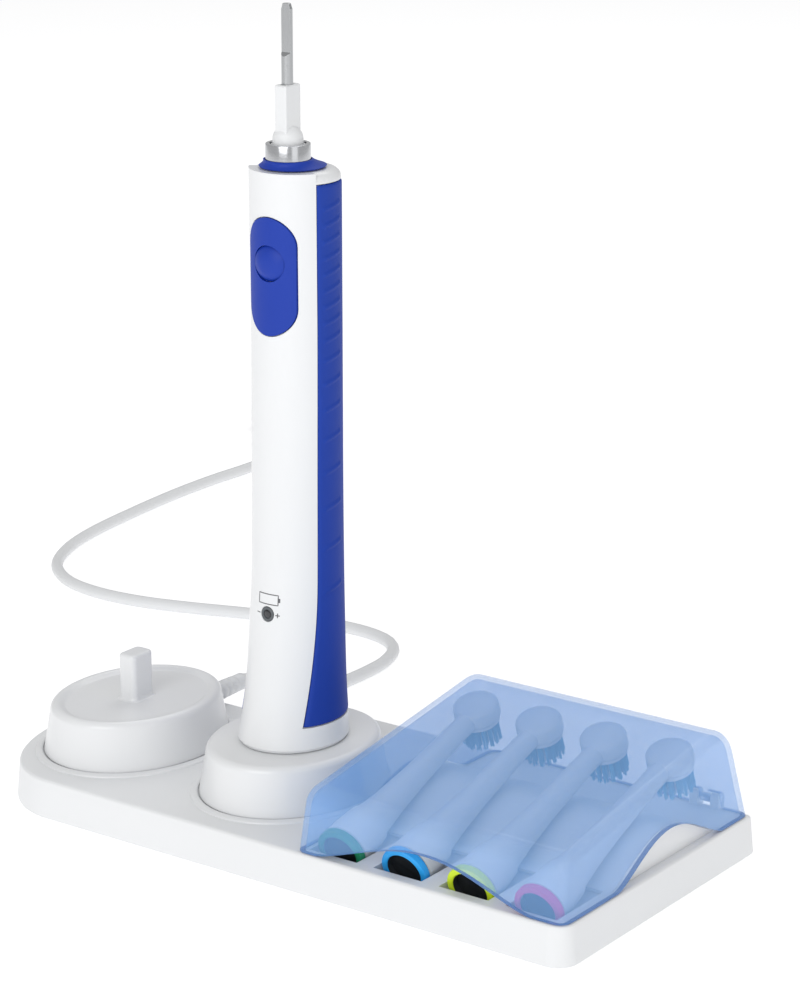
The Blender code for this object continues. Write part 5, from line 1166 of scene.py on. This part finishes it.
def lid_profile(inset, floor):
    """The lid's section in Y and Z, moved inwards, from the front foot over the top to the back."""
    front, back = LID_MARGIN - TRAY_DEPTH / 2, TRAY_DEPTH / 2 - LID_MARGIN
    corners = [
        Vector((front, LID_FOOT)), Vector((front + 2.6 * MM, LID_FRONT_HEIGHT)),
        Vector((back - LID_BACK_LEAN, LID_BACK_HEIGHT)), Vector((back, LID_FOOT)),
    ]
    lines = []
    for a, b in zip(corners, corners[1:]):
        inward = Vector(((b - a).y, -(b - a).x)).normalized() * inset
        lines.append((a + inward, b + inward))
    moved = [lines[0][0]]
    for (a, b), (c, d) in zip(lines, lines[1:]):
        r, s = b - a, d - c
        t = ((c - a).x * s.y - (c - a).y * s.x) / (r.x * s.y - r.y * s.x)
        moved.append(a + r * t)
    moved.append(lines[-1][1])
    for end, other in ((0, 1), (3, 2)):
        run = moved[end] - moved[other]
        moved[end] = moved[other] + run * ((moved[other].y - floor) / -run.y)
    points = [moved[0] + (moved[1] - moved[0]) * (i / 10) for i in range(8)]
    points += fillet(moved[1], moved[0], moved[2], max(6.0 * MM - inset, 1 * MM), 14)
    middle = fillet(moved[2], moved[1], moved[3], max(11.0 * MM - inset, 2 * MM), 20)
    points += [points[-1].lerp(middle[0], i / 24) for i in range(1, 24)]
    points += middle
    return points + [middle[-1].lerp(moved[3], i / 8) for i in range(1, 9)]


def lid_block(name, inset, floor, round_steps=8):
    """A closed block with the lid's outer shape, its side walls leaning in and rounded into the roof."""
    left, right = CASE_LEFT + inset, LID_RIGHT - inset
    radius = max(3.4 * MM - inset, 0.8 * MM)
    base = lid_profile(inset, floor)
    ceiling = max(p.y for p in base)
    turns = [math.pi / 2 * i / round_steps for i in range(round_steps + 1)]
    insets = [(radius * (1 - math.sin(t)), radius * (1 - math.cos(t))) for t in turns]  # down, inward
    loops = []
    for edge, sign, order in ((left, 1, insets), (right, -1, insets[::-1])):
        for down, inward in order:
            loop = []
            for p in lid_profile(inset + down, floor):
                lean = LID_LEAN * (p.y - LID_FOOT) / (ceiling - LID_FOOT)
                loop.append((edge + sign * (inward + lean), p.x, p.y))
            loops.append(loop)
    return skin(name, loops, smooth_below=50)


def make_lid():
    lid = lid_block("lid_cover", 0.0, LID_FOOT)
    hollow = lid_block("lid_hollow", LID_WALL, LID_FOOT - 2 * MM)
    combine(lid, [hollow], "DIFFERENCE")
    below = LID_FOOT - 3 * MM

    def opening(start, end, rise):
        arch = [(across, LID_FOOT + z) for across, z in bell(start, end, rise, 48)]
        return [(start, below)] + arch + [(end, below)]

    outline = opening(*FRONT_ARCH)
    front = skin("front_arch", [[(x, y * MM, z) for x, z in outline] for y in (-60, -38)])
    middle = (CASE_LEFT + LID_RIGHT) / 2
    cutters = [front, side_plate("side_arches", middle, 120 * MM, opening(*SIDE_ARCH))]
    for index, x in enumerate(HINGE_X):
        top = HINGE_Z + EAR_RADIUS + HINGE_ROOM
        notch = [(43.6 * MM, below), (52 * MM, below), (52 * MM, top), (43.6 * MM, top)]
        cutters.append(side_plate(f"notch_{index + 1}", x, PIN_LENGTH + 2 * HINGE_ROOM, notch))
    combine(lid, cutters, "DIFFERENCE")
    combine(lid, [hinge_wing(f"wing_{index + 1}", x) for index, x in enumerate(HINGE_X)], "UNION")
    soften(lid, 0.22 * MM, 3, angle=50)
    dress(lid, "lid_clear", "lid", "blue_clear", "lid")
    shade(lid, "lid_edge", on_lid_edge)
    return lid


def on_lid_edge(face):
    """Whether a face belongs to the lid's lower rim or to one of its arches."""
    if face.center.z > TRAY_TOP + 10.5 * MM:
        return False
    if face.normal.z < -0.7:
        return True
    if face.center.y < -40 * MM:
        return abs(face.normal.y) < 0.3 and 22 * MM < face.center.x < 93.5 * MM
    return abs(face.normal.x) < 0.3 and -22 * MM < face.center.y < 33.5 * MM


def hinge_wing(name, x):
    """The lid's own ear, between two of the tray's, joined to the rear wall over the notch."""
    top = HINGE_Z + EAR_RADIUS + 2.1 * MM
    slope = LID_BACK_LEAN / (LID_BACK_HEIGHT - LID_FOOT)
    wall = TRAY_DEPTH / 2 - LID_MARGIN - slope * (top - LID_FOOT)
    outline = []
    for step in range(17):
        turn = math.pi * (1 + step / 16)
        outline.append((HINGE_Y + EAR_RADIUS * math.cos(turn), HINGE_Z + EAR_RADIUS * math.sin(turn)))
    outline += [(wall - 0.2 * MM, top), (wall - LID_WALL, top)]
    return side_plate(name, x, EAR_WIDTH - 0.2 * MM, outline)


# ---- Brush heads -------------------------------------------------------------
def head_frame(index):
    """From a head lying along +Z with its bristles towards +Y, to its place in the tray."""
    lay = Matrix.Rotation(-(math.pi / 2 - HEAD_TILT), 4, "X")
    return Matrix.Translation((head_x(index), HEAD_FRONT_Y, HEAD_FRONT_HEIGHT)) @ lay


RING_FINISHES = ("ring_green", "ring_blue", "ring_yellow", "ring_pink")
# along the sleeve and its radius, in millimetres
SLEEVE_LINE = (
    (2.5, 7.1), (8.0, 6.9), (14.0, 6.3), (14.6, 5.6), (24.0, 4.5), (36.0, 3.7), (58.0, 3.1), (69.0, 3.1),
)


def make_head(index):
    number, place = index + 1, head_frame(index)
    hole, outer = RING_HOLE, RING_RADIUS
    profile = [(hole, 0.25 * MM), (hole + 0.25 * MM, 0), (outer - 0.45 * MM, 0)]
    profile += [(outer - 0.12 * MM, 0.12 * MM), (outer, 0.45 * MM)]
    profile += [(outer, RING_THICKNESS - 0.2 * MM), (outer - 0.2 * MM, RING_THICKNESS)]
    profile.append((hole, RING_THICKNESS))
    ring_piece = turned(f"colour_ring_{number}", profile, closed=True, place=place, sides=96)
    dress(ring_piece, RING_FINISHES[index], "stand", RING_FINISHES[index], f"head_ring_{number}")
    back_to_axis = place.inverted()
    shade(ring_piece, "bore_shade", lambda face: (back_to_axis @ face.center).xy.length < hole + 0.05 * MM)
    make_sleeve(number, place)
    make_bristles(number, place)


def make_sleeve(number, place):
    """The hollow sleeve, its shoulder and neck, and the round back of the brush."""
    bore, deep = 4.4 * MM, 26.0 * MM
    outside = [(radius * MM, z * MM) for z, radius in SLEEVE_LINE]
    profile = [(bore, 2.7 * MM), (outside[0][0] - 0.25 * MM, 2.5 * MM)]
    profile += [(outside[0][0], 2.8 * MM)] + outside[1:2]
    for (r0, z0), (r1, z1) in zip(outside[1:], outside[2:]):
        steps = max(1, round((z1 - z0) / (2 * MM)))
        profile += [(r0 + (r1 - r0) * i / steps, z0 + (z1 - z0) * i / steps) for i in range(1, steps + 1)]
    profile.append((1.2 * MM, HEAD_LENGTH + 1 * MM))
    sleeve = turned(f"sleeve_body_{number}", profile, sides=72)
    head_back = []
    for step in range(9):
        turn = math.pi / 2 * step / 8
        head_back.append((6.7 * MM * math.sin(turn) + 0.02 * MM, -1.9 * MM - 2.7 * MM * math.cos(turn)))
    head_back = [(0.4 * MM, -4.6 * MM)] + head_back[1:] + [(6.7 * MM, 1.2 * MM), (6.4 * MM, 1.5 * MM)]
    along = Matrix.Translation((0, 0, HEAD_LENGTH)) @ Matrix.Rotation(-math.pi / 2, 4, "X")
    back = turned("head_back", head_back, sides=72, place=along)
    combine(sleeve, [back], "UNION")
    low = SLEEVE_LINE[0][0] * MM
    bore_line = [(bore, low - 1 * MM), (bore, low + deep * 0.6), (bore * 0.75, low + deep)]
    disc_room = turned("disc_room", [(6.55 * MM, 1.55 * MM), (6.55 * MM, 12 * MM)], sides=72, place=along)
    combine(sleeve, [turned("bore", bore_line, sides=48), disc_room], "DIFFERENCE")
    inside = [
        face.index for face in sleeve.data.polygons
        if face.center.xy.length < bore + 0.05 * MM and low < face.center.z < low + deep * 0.7
    ]
    sleeve.data.transform(place)
    dress(sleeve, "white_satin", "stand", "white_plastic", f"head_sleeve_{number}")
    sleeve.data.materials.append(finishes["bore_shade"])
    for index in inside:
        sleeve.data.polygons[index].material_index = 1


def make_strand(bm, x, y, foot, end, out):
    """One bristle, leaning outwards to its rounded end: all but the foot in millimetres."""
    loops = []
    for z, scale, grow in (
        (0, 1, 0.11), (end * 0.55, 1 + (out - 1) / 2, 0.11), (end - 0.1, out, 0.10), (end, out, 0.04),
    ):
        centre = (x * scale * MM, y * scale * MM)
        loops.append(oval(centre, grow * MM, grow * MM, foot + z * MM, 5))
    fill_through(bm, [ring(bm, loop) for loop in loops])


def make_bristles(number, place):
    """The turning disc with rings of tufts, blue outside and white within, each tuft a bundle of bristles."""
    rng = random.Random(40 + number)
    across = place @ Matrix.Translation((0, 0, HEAD_LENGTH)) @ Matrix.Rotation(-math.pi / 2, 4, "X")
    low = 1.8 * MM
    profile = [(6.0, low / MM), (6.2, low / MM + 0.2), (6.2, low / MM + 1.1), (6.0, low / MM + 1.3)]
    disc = turned(f"disc_plate_{number}", [(r * MM, z * MM) for r, z in profile], sides=64, place=across)
    dress(disc, "white_satin", f"bristle_disc_{number}", "bristle_blue", f"bristle_disc_{number}")
    foot = low + 1.3 * MM
    for name, finish, rows in (
        ("outer", "bristle_blue", ((5.1, 16, 6.6), (3.7, 11, 6.2))),
        ("inner", "bristle_white", ((2.2, 6, 6.9), (0.7, 2, 6.9))),
    ):
        bm = bmesh.new()
        for radius, count, length in rows:
            for tuft in range(count):
                turn = FULL_TURN * tuft / count
                for _ in range(14):
                    lean, spin = rng.random() ** 0.5, rng.random() * FULL_TURN
                    x = radius * math.cos(turn) + 0.62 * lean * math.cos(spin)
                    y = radius * math.sin(turn) + 0.62 * lean * math.sin(spin)
                    end = length + rng.uniform(-0.2, 0.2)
                    make_strand(bm, x, y, foot, end, 1 + 0.05 * rng.random())
        bmesh.ops.transform(bm, matrix=across, verts=bm.verts)
        tufts = mesh_piece(f"tufts_{name}_{number}", bm)
        dress(tufts, finish, f"bristle_disc_{number}", "bristle_blue")


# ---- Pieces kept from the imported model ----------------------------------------
KEPT_FINISHES = {
    "white_plastic": "white_satin", "cord_jacket": "cord_jacket", "blue_rubber": "pad_rubber",
    "steel": "steel_turned", "grey_rubber": "dark_rubber", "board": "board_green",
    "copper": "copper_wound", "ferrite": "ferrite_grey", "brass": "brass_turned",
    "battery_wrap": "battery_sleeve", "lens": "lens_smoke",
}


def dress_kept_nodes():
    """Gives the finishes to the inner pieces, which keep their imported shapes."""
    slots = {part["node"]: part.get("material_slot") for part in frame["record"]["subparts"]}
    for name, node in nodes.items():
        finish = KEPT_FINISHES.get(slots.get(name))
        if finish and not node.hide_render:
            node.data.materials.clear()
            node.data.materials.append(finishes[finish])


def main():
    make_camera()
    make_finishes()
    make_studio()
    make_cord()
    make_tray()
    make_dock("charger", CHARGER_AT, True)
    make_dock("holder", HOLDER_AT, False)
    make_handle_shell()
    make_grip()
    make_switch_pad()
    make_button()
    make_marks()
    make_light()
    make_seal()
    make_collar()
    make_post()
    make_shaft()
    make_lid()
    for index in range(HEAD_COUNT):
        make_head(index)
    dress_kept_nodes()


main()
